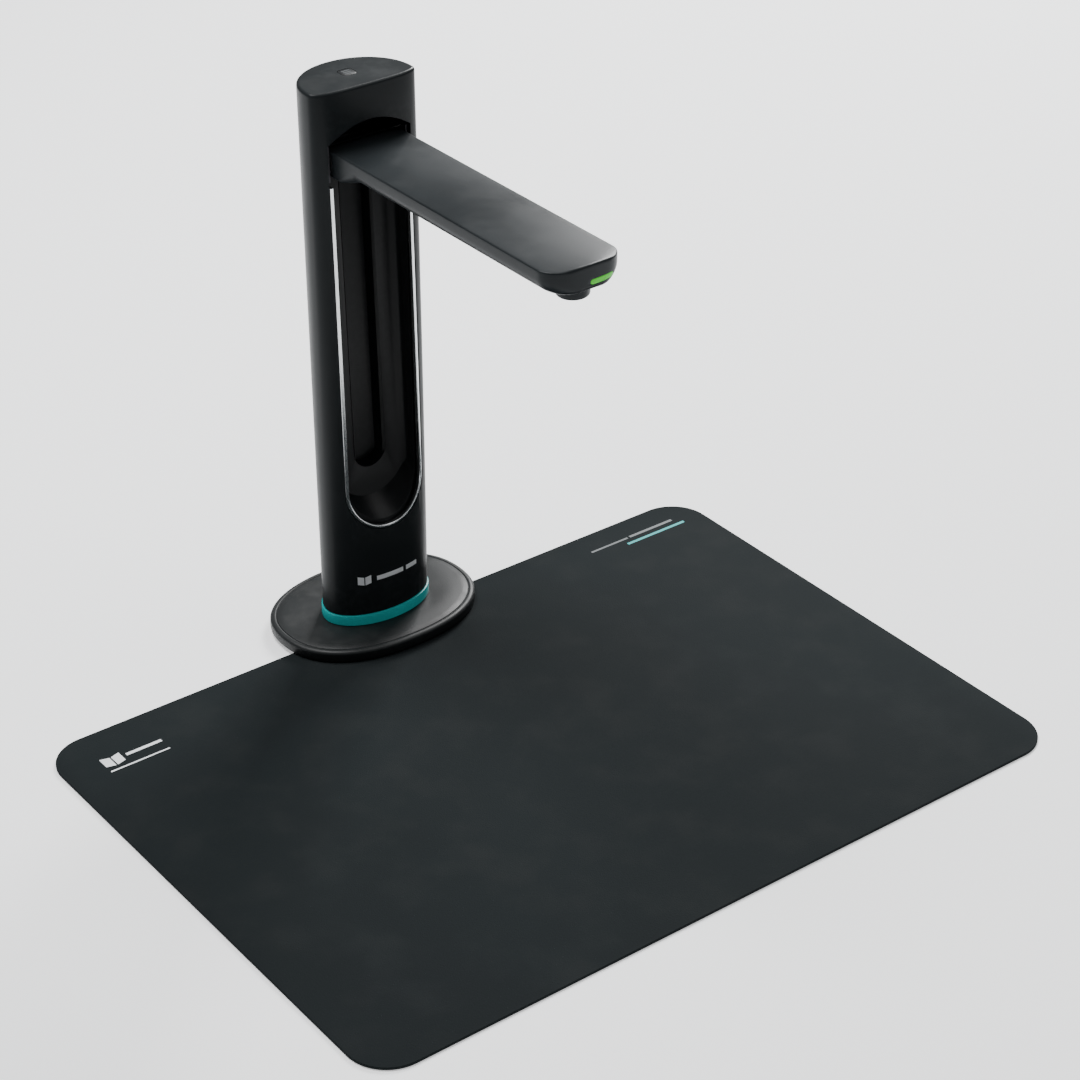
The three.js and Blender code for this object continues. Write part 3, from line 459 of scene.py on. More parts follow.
def dust_group():
    """A thin film of dust that lies on faces turned up, with a few specks."""
    group, entry, leave = new_group("Dust", {"Amount": 0.2, "Scale": 60.0}, ["Dust"])
    if entry is None:
        return group
    place = object_place(group)
    normal = add_node(group, "ShaderNodeNewGeometry").outputs["Normal"]
    up = ramp(group, add_node(group, "ShaderNodeSeparateXYZ", vector=normal).outputs["Z"], 0.3, 1.0)
    film = add_node(group, "ShaderNodeTexNoise", vector=place, scale=entry.outputs["Scale"], detail=6.0)
    lie = math_node(group, "MULTIPLY", up, ramp(group, film.outputs[0], 0.42, 0.75))
    group.links.new(math_node(group, "MULTIPLY", lie, entry.outputs["Amount"]), leave.inputs["Dust"])
    return group


def place_group(tree, group, **numbers):
    """A group in a material, with its own values."""
    node = tree.nodes.new("ShaderNodeGroup")
    node.node_tree = group
    for label, value in numbers.items():
        node.inputs[label.replace("_", " ").title()].default_value = value
    return node


# ---------------------------------------------------------------- finishes
def new_finish(name, **sockets):
    """A material with its Principled shader's plain values set, and that shader."""
    finish = bpy.data.materials.new(name)
    finish.use_nodes = True
    shader = finish.node_tree.nodes["Principled BSDF"]
    for label, value in sockets.items():
        shader.inputs[label.replace("_", " ").title().replace("Ior", "IOR")].default_value = value
    return finish, finish.node_tree, shader


def tint(tree, mask, colour, other):
    """One colour turned into another by a mask."""
    mix = add_node(tree, "ShaderNodeMix", data_type="RGBA")
    tree.links.new(mask, mix.inputs["Factor"])
    for socket, value in ((mix.inputs[6], colour), (mix.inputs[7], other)):
        if isinstance(value, bpy.types.NodeSocket):
            tree.links.new(value, socket)
        else:
            socket.default_value = (*value, 1)
    return mix.outputs[2]


def sheen(tree, mask, spread, least):
    """A roughness that rises from least by spread where the mask is full."""
    node = add_node(tree, "ShaderNodeMath", operation="MULTIPLY_ADD", in0=mask, in1=spread, in2=least)
    return node.outputs[0]


def relief(tree, shader, height, strength, distance):
    """Feeds a height to the shader's normal."""
    bump = add_node(tree, "ShaderNodeBump", height=height)
    bump.inputs["Strength"].default_value = strength
    bump.inputs["Distance"].default_value = distance
    tree.links.new(bump.outputs[0], shader.inputs["Normal"])


def plastic(name, colour, rough, grain=1800.0, depth=0.1, wear=0.3, dust=0.15, shine=0.2, spread=0.08):
    """Moulded plastic: fine grain, mottled sheen, rubbed edges and a little dust."""
    finish, tree, shader = new_finish(name, specular_ior_level=shine)
    grains = place_group(tree, grain_group(), scale=grain)
    edges = place_group(tree, wear_group(), amount=wear)
    film = place_group(tree, dust_group(), amount=dust)
    mottle = grains.outputs["Mottle"]
    lighter = [c * 1.25 + 0.0008 for c in colour]
    worn = [c * 2.2 + 0.012 for c in colour]
    body = tint(tree, mottle, colour, lighter)
    body = tint(tree, edges.outputs["Wear"], body, worn)
    body = tint(tree, film.outputs["Dust"], body, (0.06, 0.06, 0.058))
    tree.links.new(body, shader.inputs["Base Color"])
    clean = sheen(tree, mottle, spread, rough - spread / 2)
    tree.links.new(math_node(tree, "ADD", clean, film.outputs["Dust"], True), shader.inputs["Roughness"])
    relief(tree, shader, grains.outputs["Height"], depth, 0.0002)
    return finish


def metal(name, colour, rough, stretch=(1, 1, 40), scale=900.0, depth=0.08):
    """Metal with a drawn or ground direction."""
    finish, tree, shader = new_finish(name, metallic=1.0)
    place = object_place(tree)
    along = add_node(tree, "ShaderNodeMapping", vector=place, scale=stretch)
    lines = add_node(tree, "ShaderNodeTexNoise", vector=along.outputs[0], detail=4.0)
    lines.inputs["Scale"].default_value = scale
    grains = place_group(tree, grain_group(), scale=600.0, mottle_scale=40.0)
    body = tint(tree, grains.outputs["Mottle"], colour, [c * 0.82 for c in colour])
    tree.links.new(body, shader.inputs["Base Color"])
    tree.links.new(sheen(tree, lines.outputs[0], 0.16, rough - 0.08), shader.inputs["Roughness"])
    relief(tree, shader, lines.outputs[0], depth, 0.0001)
    return finish


def lit(name, colour, glow, strength, rough=0.25):
    """A lit light guide: its glow varies slowly along the piece."""
    finish, tree, shader = new_finish(name, emission_strength=strength, specular_ior_level=0.2)
    grains = place_group(tree, grain_group(), scale=300.0, mottle_scale=30.0)
    mottle = grains.outputs["Mottle"]
    tree.links.new(tint(tree, mottle, colour, [c * 0.9 for c in colour]), shader.inputs["Base Color"])
    tree.links.new(tint(tree, mottle, glow, [c * 0.86 for c in glow]), shader.inputs["Emission Color"])
    tree.links.new(sheen(tree, mottle, 0.08, rough), shader.inputs["Roughness"])
    return finish


def board_finish():
    """Solder mask over tracks, with pale pads."""
    finish, tree, shader = new_finish("Circuit Board", coat_weight=0.4)
    place = object_place(tree)
    tracks = add_node(tree, "ShaderNodeTexBrick", vector=place)
    tracks.inputs["Scale"].default_value = 260.0
    tracks.inputs["Mortar Size"].default_value = 0.06
    dots = add_node(tree, "ShaderNodeTexVoronoi", vector=place, scale=420.0)
    pads = ramp(tree, dots.outputs["Distance"], 0.16, 0.12)
    mask = tint(tree, tracks.outputs["Fac"], (0.008, 0.085, 0.04), (0.014, 0.14, 0.065))
    tree.links.new(tint(tree, pads, mask, (0.5, 0.42, 0.2)), shader.inputs["Base Color"])
    tree.links.new(sheen(tree, pads, -0.15, 0.42), shader.inputs["Roughness"])
    relief(tree, shader, tracks.outputs["Fac"], 0.2, 0.0001)
    return finish


def lens_finish():
    """Coated camera glass."""
    finish, tree, shader = new_finish(
        "Lens Glass", base_color=(0.35, 0.4, 0.6, 1), transmission_weight=0.9, ior=1.5, coat_weight=1.0
    )
    grains = place_group(tree, grain_group(), scale=90.0, mottle_scale=60.0)
    tree.links.new(sheen(tree, grains.outputs["Mottle"], 0.02, 0.02), shader.inputs["Roughness"])
    return finish


def mat_finish(colour):
    """The mat's fine grained face: a tight weave-like emboss, slightly uneven in sheen."""
    finish, tree, shader = new_finish("Mat Surface", specular_ior_level=0.02)
    grains = place_group(tree, grain_group(), scale=1100.0, mottle_scale=5.0)
    film = place_group(tree, dust_group(), amount=0.08, scale=26.0)
    mottle = grains.outputs["Mottle"]
    body = tint(tree, mottle, colour, [c * 1.18 for c in colour])
    body = tint(tree, film.outputs["Dust"], body, (0.05, 0.05, 0.048))
    tree.links.new(body, shader.inputs["Base Color"])
    tree.links.new(sheen(tree, mottle, 0.06, 0.62), shader.inputs["Roughness"])
    relief(tree, shader, grains.outputs["Height"], 0.22, 0.0003)
    return finish


FINISHES = {}


def finish_for(slot):
    """The finish of a record slot, made when it is first wanted."""
    if slot not in FINISHES:
        colours = bpy.context.scene.scanner_colours
        makers = {
            "base_black": (plastic, "Base Black", colours.base, 0.4, 1500.0, 0.14, 0.3, 0.12, 0.2),
            "column_black": (plastic, "Column Black", colours.column, 0.36, 2400.0, 0.05, 0.15, 0.05, 0.1),
            "arm_black": (plastic, "Arm Black", colours.arm, 0.32, 2200.0, 0.05, 0.15, 0.03, 0.13),
            "button_black": (plastic, "Button Black", colours.arm, 0.32, 2000.0, 0.05, 0.5, 0.05),
            "gloss_black": (plastic, "Gloss Black", colours.gloss, 0.34, 300.0, 0.01, 0.1, 0.01, 0.16, 0.04),
            "polished_trim": (metal, "Polished Trim", colours.trim, 0.2, (1, 1, 0.05), 700.0, 0.02),
            "teal_light_guide": (lit, "Teal Light Guide", colours.ring, colours.ring, 0.3),
            "green_indicator": (lit, "Green Indicator", colours.signal, colours.signal, 0.4),
            "touch_light_window": (plastic, "Touch Window", (0.012, 0.013, 0.014), 0.3, 300.0, 0.01),
            "frosted_window": (lit, "Frosted Window", (0.7, 0.72, 0.73), (1, 1, 1), 0.05, 0.45),
            "foot_rubber": (plastic, "Foot Rubber", (0.012, 0.012, 0.012), 0.8, 900.0, 0.3, 0.1, 0.3),
            "zinc_plated_steel": (metal, "Zinc Plated Steel", (0.42, 0.43, 0.44), 0.34),
            "screw_steel": (metal, "Screw Steel", (0.4, 0.4, 0.41), 0.3, (1, 1, 4), 1500.0),
            "dark_pin_steel": (metal, "Pin Steel", (0.1, 0.1, 0.11), 0.25, (40, 1, 1), 1500.0),
            "hinge_casting": (metal, "Hinge Casting", (0.05, 0.05, 0.055), 0.55, (1, 1, 1), 700.0, 0.3),
            "cast_iron_ballast": (metal, "Ballast Iron", (0.06, 0.06, 0.062), 0.65, (1, 1, 1), 500.0, 0.5),
            "laser_brass": (metal, "Laser Brass", (0.55, 0.4, 0.16), 0.3, (1, 1, 1), 1200.0),
            "washer_black": (plastic, "Washer Black", (0.012, 0.012, 0.012), 0.5, 900.0, 0.1, 0.1, 0.02),
            "circuit_board": (board_finish,),
            "socket_shell": (metal, "Socket Plating", (0.5, 0.5, 0.5), 0.25, (1, 30, 1), 1500.0),
            "socket_black": (plastic, "Socket Black", (0.01, 0.01, 0.01), 0.5, 1500.0, 0.08, 0.1, 0.05),
            "lens_black": (plastic, "Lens Black", (0.006, 0.006, 0.007), 0.45, 2000.0, 0.1, 0.3, 0.02),
            "lens_glass": (lens_finish,),
            "mat_surface": (mat_finish, colours.mat),
        }
        make, *values = makers[slot]
        FINISHES[slot] = make(*values)
    return FINISHES[slot]


def print_finish(name, colour):
    """Screen printed ink, a little uneven."""
    return plastic(name, colour, 0.5, 900.0, 0.1, 0.0, 0.05)


# ---------------------------------------------------------------- settings
class ScannerSizes(bpy.types.PropertyGroup):
    """Sizes that the looks add to the frame's own, in millimetres."""

    rim_round: bpy.props.FloatProperty(
        name="Rim rounding", description="Rounding of the base's upper edge, across",
        default=3.0, min=0.5, max=4.0,
    )
    rim_groove: bpy.props.FloatProperty(
        name="Rim groove", description="Depth of the fine groove inside the base's rim",
        default=0.4, min=0.0, max=1.0,
    )
    arm_edge: bpy.props.FloatProperty(
        name="Arm edge", description="Rounding of the arm's upper edges", default=1.3, min=0.3, max=3.0
    )
    print_height: bpy.props.FloatProperty(
        name="Print height", description="Thickness of the printed marks", default=0.04, min=0.02, max=0.1
    )


class ScannerColours(bpy.types.PropertyGroup):
    """The finishes' colours."""

    base: bpy.props.FloatVectorProperty(
        name="Base", description="Base moulding", subtype="COLOR", default=(0.012, 0.0135, 0.014)
    )
    column: bpy.props.FloatVectorProperty(
        name="Column", description="Column moulding", subtype="COLOR", default=(0.010, 0.012, 0.013)
    )
    arm: bpy.props.FloatVectorProperty(
        name="Arm", description="Camera arm's covers", subtype="COLOR", default=(0.012, 0.0145, 0.016)
    )
    gloss: bpy.props.FloatVectorProperty(
        name="Tray", description="Dark tray behind the slot", subtype="COLOR", default=(0.004, 0.0045, 0.005)
    )
    trim: bpy.props.FloatVectorProperty(
        name="Trim", description="Bright trim round the slot", subtype="COLOR", default=(0.72, 0.74, 0.75)
    )
    ring: bpy.props.FloatVectorProperty(
        name="Ring", description="Lit ring above the base", subtype="COLOR", default=(0.0, 0.24, 0.24)
    )
    signal: bpy.props.FloatVectorProperty(
        name="Indicator", description="Lit bar in the arm's tip", subtype="COLOR",
        default=(0.06, 0.46, 0.025),
    )
    mat: bpy.props.FloatVectorProperty(
        name="Mat", description="Mat's upper face", subtype="COLOR", default=(0.0115, 0.0142, 0.0152)
    )


# ---------------------------------------------------------------- base and ring
class SCANNER_OT_base(bpy.types.Operator):
    """Makes the base's cover and its rubber feet"""

    bl_idname = "scanner.base"
    bl_label = "Base"

    def execute(self, context):
        """Lofts the cover from its lower edge, over the rim, to the hole under the column."""
        sizes = context.scene.scanner_sizes
        crown_top = BASE_HIGH.z
        rings = [base_ring(BASE_LOW.z, 0.9), base_ring(BASE_LOW.z + 0.3, 0.3), base_ring(BASE_LOW.z + 1, 0)]
        rings.append(base_ring(BASE_SHOULDER - 1, 0))
        across = sizes.rim_round
        up = BASE_RIM_TOP - BASE_SHOULDER
        for inset, z in arc(across, BASE_SHOULDER, -across, up, 0, 90, 8):
            rings.append(base_ring(z, inset))
        groove = [(0.5, 0), (0.75, -0.25), (0.95, -1), (1.35, -1), (1.55, -0.25), (1.8, 0.05)]
        for run, drop in groove:
            rings.append(base_ring(BASE_RIM_TOP + drop * sizes.rim_groove, sizes.rim_round + run))
        for share in (0.25, 0.5, 0.75, 1):
            rise = math.sin(share * math.pi / 2)
            rings.append(base_ring(BASE_RIM_TOP + (crown_top - BASE_RIM_TOP) * rise, 5 + 17 * share))
        for inset in (5, 8):
            rings.append([(x, y, crown_top) for x, y, z in column_ring(RING_LOW.z, inset)])
        cover = walled(loft(rings), BASE_WALL)
        piece(cover, "base_shell", "stand", "base_black", ["base_cover"])
        for node in ("foot_front_left", "foot_front_right", "foot_rear_left", "foot_rear_right"):
            low, high = box_of(node)
            radius = (high.x - low.x) / 2
            profile = [(0, 0.25), (1.6, 0.25), (1.8, 0), (radius - 0.4, 0), (radius - 0.1, 0.12)]
            profile += [(radius, 0.4), (radius, high.z - low.z - 0.2), (radius - 0.2, high.z - low.z)]
            profile += [(0, high.z - low.z)]
            pad = turned(profile, ((low.x + high.x) / 2, (low.y + high.y) / 2, low.z), 48)
            piece(pad, node + "_pad", "stand", "foot_rubber", [node])
        return {"FINISHED"}


class SCANNER_OT_light_ring(bpy.types.Operator):
    """Makes the lit ring between the base and the column"""

    bl_idname = "scanner.light_ring"
    bl_label = "Light ring"

    def execute(self, context):
        """Lofts the ring round a closed section with eased outer edges."""
        low, high = RING_LOW.z, RING_HIGH.z
        section = [(low, 2.2), (low, -0.5), (low + 0.15, -0.85), (low + 0.5, -1), (high - 0.5, -1)]
        section += [(high - 0.15, -0.85), (high, -0.5), (high, 2.2)]
        rings = [column_ring(z, inset) for z, inset in section]
        ring = loft(rings, closed=True)
        piece(ring, "light_guide_ring", "stand", "teal_light_guide", ["light_ring"])
        return {"FINISHED"}


# ---------------------------------------------------------------- column
def column_walls():
    """The column's hollow moulding before anything is cut from it."""
    foot, top = SHELL_LOW.z, SHELL_HIGH.z
    rings = [column_ring(foot, 0.25), column_ring(foot + 0.25, 0)]
    rows = 18
    for i in range(1, rows):
        rings.append(column_ring(foot + (top - COLUMN_EDGE - foot) * i / rows, 0))
    for inset, z in arc(COLUMN_EDGE, top - COLUMN_EDGE, -COLUMN_EDGE, COLUMN_EDGE, 0, 90, 8):
        rings.append(column_ring(z, inset))
    rings.append(column_ring(top, COLUMN_EDGE + 0.6))
    return walled(loft(rings, high_cap=True), COLUMN_WALL)


def back_outline(clearance):
    """The back cover's outline in X and Z."""
    half = (BACK_HIGH.x - BACK_LOW.x) / 2 + clearance
    return rounded_outline(half, BACK_LOW.z - clearance, BACK_HIGH.z + clearance, BACK_CORNER)


def back_hole(radius, z, steps):
    """A round bar through the back cover at that height, for cutting."""
    profile = [(0, -20), (radius, -20), (radius, 20), (0, 20)]
    return turned(profile, (0, BUTTON_HIGH.y, z), steps, "Y")


class SCANNER_OT_column(bpy.types.Operator):
    """Makes the column's shell, its back cover and the touch window"""

    bl_idname = "scanner.column"
    bl_label = "Column"

    def execute(self, context):
        """Cuts the slot, the back opening and the touch window's hole from the walls."""
        slot = prism(slot_outline(SLOT_HALF, SLOT_BOTTOM, SLOT_SHOULDER, SLOT_CROWN), "Y", -60, 0)
        touch_half = (TOUCH_HIGH.x - TOUCH_LOW.x) / 2
        hole = rounded_outline(touch_half + GAP, TOUCH_LOW.y - GAP, TOUCH_HIGH.y + GAP, 2.8)
        tools = [slot, prism(back_outline(GAP), "Y", 10, 70)]
        tools.append(prism(hole, "Z", TOUCH_LOW.z - 2, TOUCH_HIGH.z + 2))
        shell = eased(combine(column_walls(), tools), 0.35)
        piece(shell, "column_case", "stand", "column_black", ["column_shell"])

        cover = combine(column_walls(), [prism(back_outline(0), "Y", 10, 70)], "INTERSECT")
        button = back_hole(BUTTON_HOLE, BUTTON_LOW.z + BUTTON_COLLAR, 48)
        data = prism(rounded_outline(4.6, DATA_LOW.z - 0.1, DATA_HIGH.z + 0.1, 1.6), "Y", 20, 60)
        accessory_z = (ACCESSORY_LOW.z + ACCESSORY_HIGH.z) / 2
        accessory = back_hole(ACCESSORY_HOLE, accessory_z, 32)
        cover = eased(combine(cover, [button, data, accessory]), 0.3)
        piece(cover, "rear_cover", "stand", "column_black", ["back_cover"])

        outline = rounded_outline(touch_half, TOUCH_LOW.y, TOUCH_HIGH.y, 2.5)
        window = eased(prism(outline, "Z", TOUCH_LOW.z, TOUCH_HIGH.z), 0.25)
        piece(window, "touch_key_window", "stand", "touch_light_window", ["touch_window"])
        return {"FINISHED"}


class SCANNER_OT_trim(bpy.types.Operator):
    """Makes the bright trim round the slot"""

    bl_idname = "scanner.trim"
    bl_label = "Slot trim"

    def execute(self, context):
        """Sweeps a round-fronted band down one side, round the bottom and up the other."""
        half = SLOT_HALF - GAP - TRIM_WIDTH / 2
        centre_z = SLOT_BOTTOM + SLOT_HALF
        rows = 24
        side = [(TRIM_HIGH.z + (centre_z - TRIM_HIGH.z) * i / rows) for i in range(rows)]
        path = [(-half, z, 180) for z in side]
        path += [(half * math.cos(a), centre_z + half * math.sin(a), math.degrees(a))
                 for a in (math.pi * (1 + i / 60) for i in range(61))]
        path += [(half, z, 360) for z in reversed(side)]
        section = rounded_outline(TRIM_WIDTH / 2, TRIM_SINK, TRIM_SINK + TRIM_DEPTH, 0.7, 0, 4)
        rings = []
        for x, z, heading in path:
            out_x, out_z = math.cos(math.radians(heading)), math.sin(math.radians(heading))
            ring = []
            for across, depth in section:
                px, pz = x + across * out_x, z + across * out_z
                ring.append((px, column_front(px, pz) + depth, pz))
            rings.append(ring)
        trim = loft(rings, True, True)
        piece(trim, "slot_trim", "stand", "polished_trim", ["recess_trim"], smooth=50)
        return {"FINISHED"}


class SCANNER_OT_tray(bpy.types.Operator):
    """Makes the dark tray behind the slot, and the shroud behind the hinge"""

    bl_idname = "scanner.tray"
    bl_label = "Recess tray"

    def execute(self, context):
        """Builds the tray upright, cuts its trough, scoop and channel, and leans it with the column."""
        land = TRAY_DEPTH + TRAY_WALL
        rib = CHANNEL_HALF + TRAY_WALL
        body = prism(slot_outline(SLOT_HALF - GAP, SLOT_BOTTOM + GAP, TRIM_HIGH.z), "Y", -20, land)
        back = slot_outline(rib, CHANNEL_END - TRAY_WALL, TRIM_HIGH.z)
        body = combine(body, [prism(back, "Y", land - 1, land + CHANNEL_DEPTH)], "UNION")

        half = SLOT_HALF - TRIM_WIDTH - GAP
        trough = [(-half, -30), (half, -30)]
        trough += arc(half - TRAY_CORNER, TRAY_DEPTH - TRAY_CORNER, TRAY_CORNER, TRAY_CORNER, 0, 90, 10)
        trough += arc(TRAY_CORNER - half, TRAY_DEPTH - TRAY_CORNER, TRAY_CORNER, TRAY_CORNER, 90, 180, 10)
        hollow = prism(trough, "Z", 40, SHELL_HIGH.z)
        scoop = prism(slot_outline(half, SLOT_BOTTOM + TRIM_WIDTH + GAP, SHELL_HIGH.z), "Y", -40, 40)
        shear = Matrix.Identity(4)
        shear[2][1] = SCOOP_RISE / TRAY_DEPTH
        hollow = combine(hollow, [moved(scoop, shear)], "INTERSECT")

        bevel = CHANNEL_BEVEL
        channel = [(-CHANNEL_HALF - bevel, TRAY_DEPTH - 1), (CHANNEL_HALF + bevel, TRAY_DEPTH - 1)]
        channel += [(CHANNEL_HALF + bevel, TRAY_DEPTH), (CHANNEL_HALF, TRAY_DEPTH + bevel)]
        channel += [(CHANNEL_HALF, TRAY_DEPTH + CHANNEL_DEPTH), (-CHANNEL_HALF, TRAY_DEPTH + CHANNEL_DEPTH)]
        channel += [(-CHANNEL_HALF, TRAY_DEPTH + bevel), (-CHANNEL_HALF - bevel, TRAY_DEPTH)]
        groove = prism(channel, "Z", 40, SHELL_HIGH.z)
        end = prism(slot_outline(CHANNEL_HALF + bevel, CHANNEL_END, SHELL_HIGH.z), "Y", 0, 60)
        groove = combine(groove, [end], "INTERSECT")

        tray = moved(combine(body, [hollow, groove]), lean_matrix())
        behind = TRIM_SINK + TRIM_DEPTH + GAP
        inside = loft([column_ring(SHELL_LOW.z, behind), column_ring(SHELL_HIGH.z, behind)], True, True)
        tray = eased(combine(tray, [inside], "INTERSECT"), 0.4)
        piece(tray, "slot_tray", "stand", "gloss_black", ["recess_tray"])

        inner = (COVER_HIGH.z - HINGE.z) + 1
        outer = inner + TRAY_WALL
        wrap = arc(HINGE.y, HINGE.z, outer, outer, 0, 108, 28)
        wrap += arc(HINGE.y, HINGE.z, inner, inner, 108, 0, 28)
        wrap += [(HINGE.y + inner, SHROUD_LOW.z), (HINGE.y + outer, SHROUD_LOW.z)]
        shroud = eased(prism(wrap, "X", SHROUD_LOW.x, SHROUD_HIGH.x), 0.3)
        piece(shroud, "hinge_dust_shroud", "stand", "gloss_black", ["hinge_shroud"])
        return {"FINISHED"}


# ---------------------------------------------------------------- arm
def arm_outline(half, top, bottom, edge, run, rise):
    """The arm's section in X and Z, slightly crowned, with the same number of points at any size."""
    flat = 14
    side = half - edge
    crown = min(ARM_CROWN, (top - bottom) * 0.1)
    outline = [(side - 2 * side * i / flat, top - crown * (1 - 2 * i / flat) ** 2) for i in range(1, flat)]
    top -= crown
    outline += arc(edge - half, top - edge, edge, edge, 90, 180, 6)
    outline += arc(run - half, bottom + rise, run, rise, 180, 270, 14)
    outline += arc(half - run, bottom + rise, run, rise, 270, 360, 14)
    outline += arc(half - edge, top - edge, edge, edge, 0, 90, 6)
    return outline


def arm_body(inset, edge, rear=None):
    """The arm's closed outer form, or one inside it by inset, cut off flat at rear if that is given."""
    half = (COVER_HIGH.x - COVER_LOW.x) / 2 - inset
    tall = COVER_HIGH.z - HINGE.z
    top, bottom = COVER_HIGH.z - inset, HINGE.z - tall + ARM_SLIM + inset
    tip = COVER_LOW.y + inset
    corner = max(ARM_CORNER - inset, 2)

    def ring(distance, shrink):
        """The section that far behind the tip, shrunk by shrink on every side."""
        reach = math.sqrt(max(0, corner**2 - max(0, corner - distance) ** 2))
        width = half - corner + reach - shrink
        root = (tip + distance - HINGE.y + ARM_ROOT_END) / (ARM_ROOT_END - ARM_ROOT_START)
        root = max(0, min(1, root))
        low = bottom + ARM_UNDERCUT * max(0, 1 - distance / ARM_UNDERCUT_RUN) ** 2 + shrink - ARM_SLIM * root
        high = top - shrink
        run = ARM_EDGE_RUN + (ARM_ROOT_EDGE - ARM_EDGE_RUN) * root
        rise = ARM_EDGE_RISE + (ARM_ROOT_EDGE - ARM_EDGE_RISE) * root
        run = min(run * width / half, width - 1)
        rise = min(rise, (high - low) * 0.62)
        fade = max(0, 1 - distance / ARM_BULGE_RUN) ** 2
        points = arm_outline(width, high, low, min(edge, rise / 3), run, rise)
        return [(x, tip + distance + ARM_BULGE * fade * (x / half) ** 2, z) for x, z in points]

    face = ring(0, edge)
    middle_z = sum(z for x, y, z in face) / len(face)
    rings = []
    for share in (0.1, 0.35, 0.6, 0.82):
        rings.append([
            (x * share, tip + ARM_BULGE * (x * share / half) ** 2, middle_z + (z - middle_z) * share)
            for x, y, z in face
        ])
    for across, along in arc(0, 0, edge, edge, 0, 90, 5):
        rings.append(ring(edge - across, edge - along))
    start = math.acos(1 - edge / corner)
    for i in range(1, 11):
        angle = start + (math.pi / 2 - start) * i / 10
        rings.append(ring(corner * (1 - math.cos(angle)), 0))
    for distance in (16, 22, 30, 38, 60, 100, 150):
        rings.append(ring(distance, 0))
    for back in (50, 34, 30, 28, 26, 24, 22, 20, 18, 16, 14, 10):
        rings.append(ring(HINGE.y - back - tip, 0))
    if rear is not None:
        rings.append(ring(rear - tip, 0))
        return loft(rings, True, True)
    for angle in range(0, 86, 5):
        lift = (tall - inset) * math.cos(math.radians(angle))
        y = HINGE.y + (tall - inset) * math.sin(math.radians(angle))
        soft = min(ARM_ROOT_EDGE, lift * 0.6)
        points = arm_outline(half, HINGE.z + lift, HINGE.z - lift, min(edge, lift / 2), soft, soft)
        rings.append([(x, y, z) for x, z in points])
    return loft(rings, True, True)


class SCANNER_OT_arm(bpy.types.Operator):
    """Makes the camera arm's covers and its indicator"""

    bl_idname = "scanner.arm"
    bl_label = "Camera arm"

    def execute(self, context):
        """Splits the arm's form into its main cover and a floor, and cuts their openings."""
        edge = context.scene.scanner_sizes.arm_edge
        seam = FLOOR_HIGH.z + GAP / 2
        front = COVER_LOW.y - 20
        lens_y = (HOUSING_LOW.y + HOUSING_HIGH.y) / 2
        laser_y = (LASER_LOW.y + LASER_HIGH.y) / 2
        bore = (BARREL_HIGH.x - BARREL_LOW.x) / 2 + GAP
        laser = (LASER_HIGH.x - LASER_LOW.x) / 2 + GAP
        low = FLOOR_LOW.z - 1

        tools = [
            block((-60, 60), (front, FLOOR_HIGH.y + GAP), (low, seam + GAP / 2)),
            arm_body(ARM_WALL, 0.5, HINGE.y - 5),
            prism(self.signal_outline(GAP), "Y", COVER_LOW.y - 10, COVER_LOW.y + 6),
        ]
        cover = eased(combine(arm_body(0, edge), tools), 0.2)
        piece(cover, "arm_cover", "camera_arm", "arm_black", ["arm_upper_cover"])

        base = block((-60, 60), (front, FLOOR_HIGH.y), (low, seam - GAP / 2))
        floor = combine(arm_body(0, edge), [base], "INTERSECT")
        tools = [
            arm_body(ARM_WALL, 0.5, HINGE.y - 5),
            turned([(0, 0), (bore, 0), (bore, 5), (0, 5)], (0, lens_y, low), 48),
            turned([(0, 0), (laser, 0), (laser, 5), (0, 5)], (0, laser_y, low), 32),
            prism(self.lamp_outline(GAP), "Z", low, low + 5),
        ]
        floor = eased(combine(floor, tools), 0.2)
        piece(floor, "arm_floor", "camera_arm", "arm_black", ["arm_lower_shell"])

        inner = prism(self.signal_outline(0), "Y", COVER_LOW.y - 10, COVER_LOW.y + 4)
        lens = eased(combine(arm_body(-0.05, edge), [inner], "INTERSECT"), 0.25)
        piece(lens, "indicator_bar", "camera_arm", "green_indicator", ["indicator_lens"])

        glow = eased(prism(self.lamp_outline(0), "Z", LAMP_LOW.z, LAMP_HIGH.z), 0.3)
        piece(glow, "lamp_window", "camera_arm", "frosted_window", ["light_bar_lens"])
        return {"FINISHED"}

    @staticmethod
    def lamp_outline(clearance):
        """The lamp strip's outline in X and Y."""
        half = (LAMP_HIGH.x - LAMP_LOW.x) / 2 + clearance
        return rounded_outline(half, LAMP_LOW.y - clearance, LAMP_HIGH.y + clearance, half - 0.01, 0, 16)

    @staticmethod
    def signal_outline(clearance):
        """The indicator's outline in X and Z."""
        half = (SIGNAL_HIGH.x - SIGNAL_LOW.x) / 2 + clearance
        middle = (SIGNAL_HIGH.x + SIGNAL_LOW.x) / 2
        radius = (SIGNAL_HIGH.z - SIGNAL_LOW.z) / 2 + clearance - 0.02
        return rounded_outline(half, SIGNAL_LOW.z - clearance, SIGNAL_HIGH.z + clearance, radius, middle, 12)


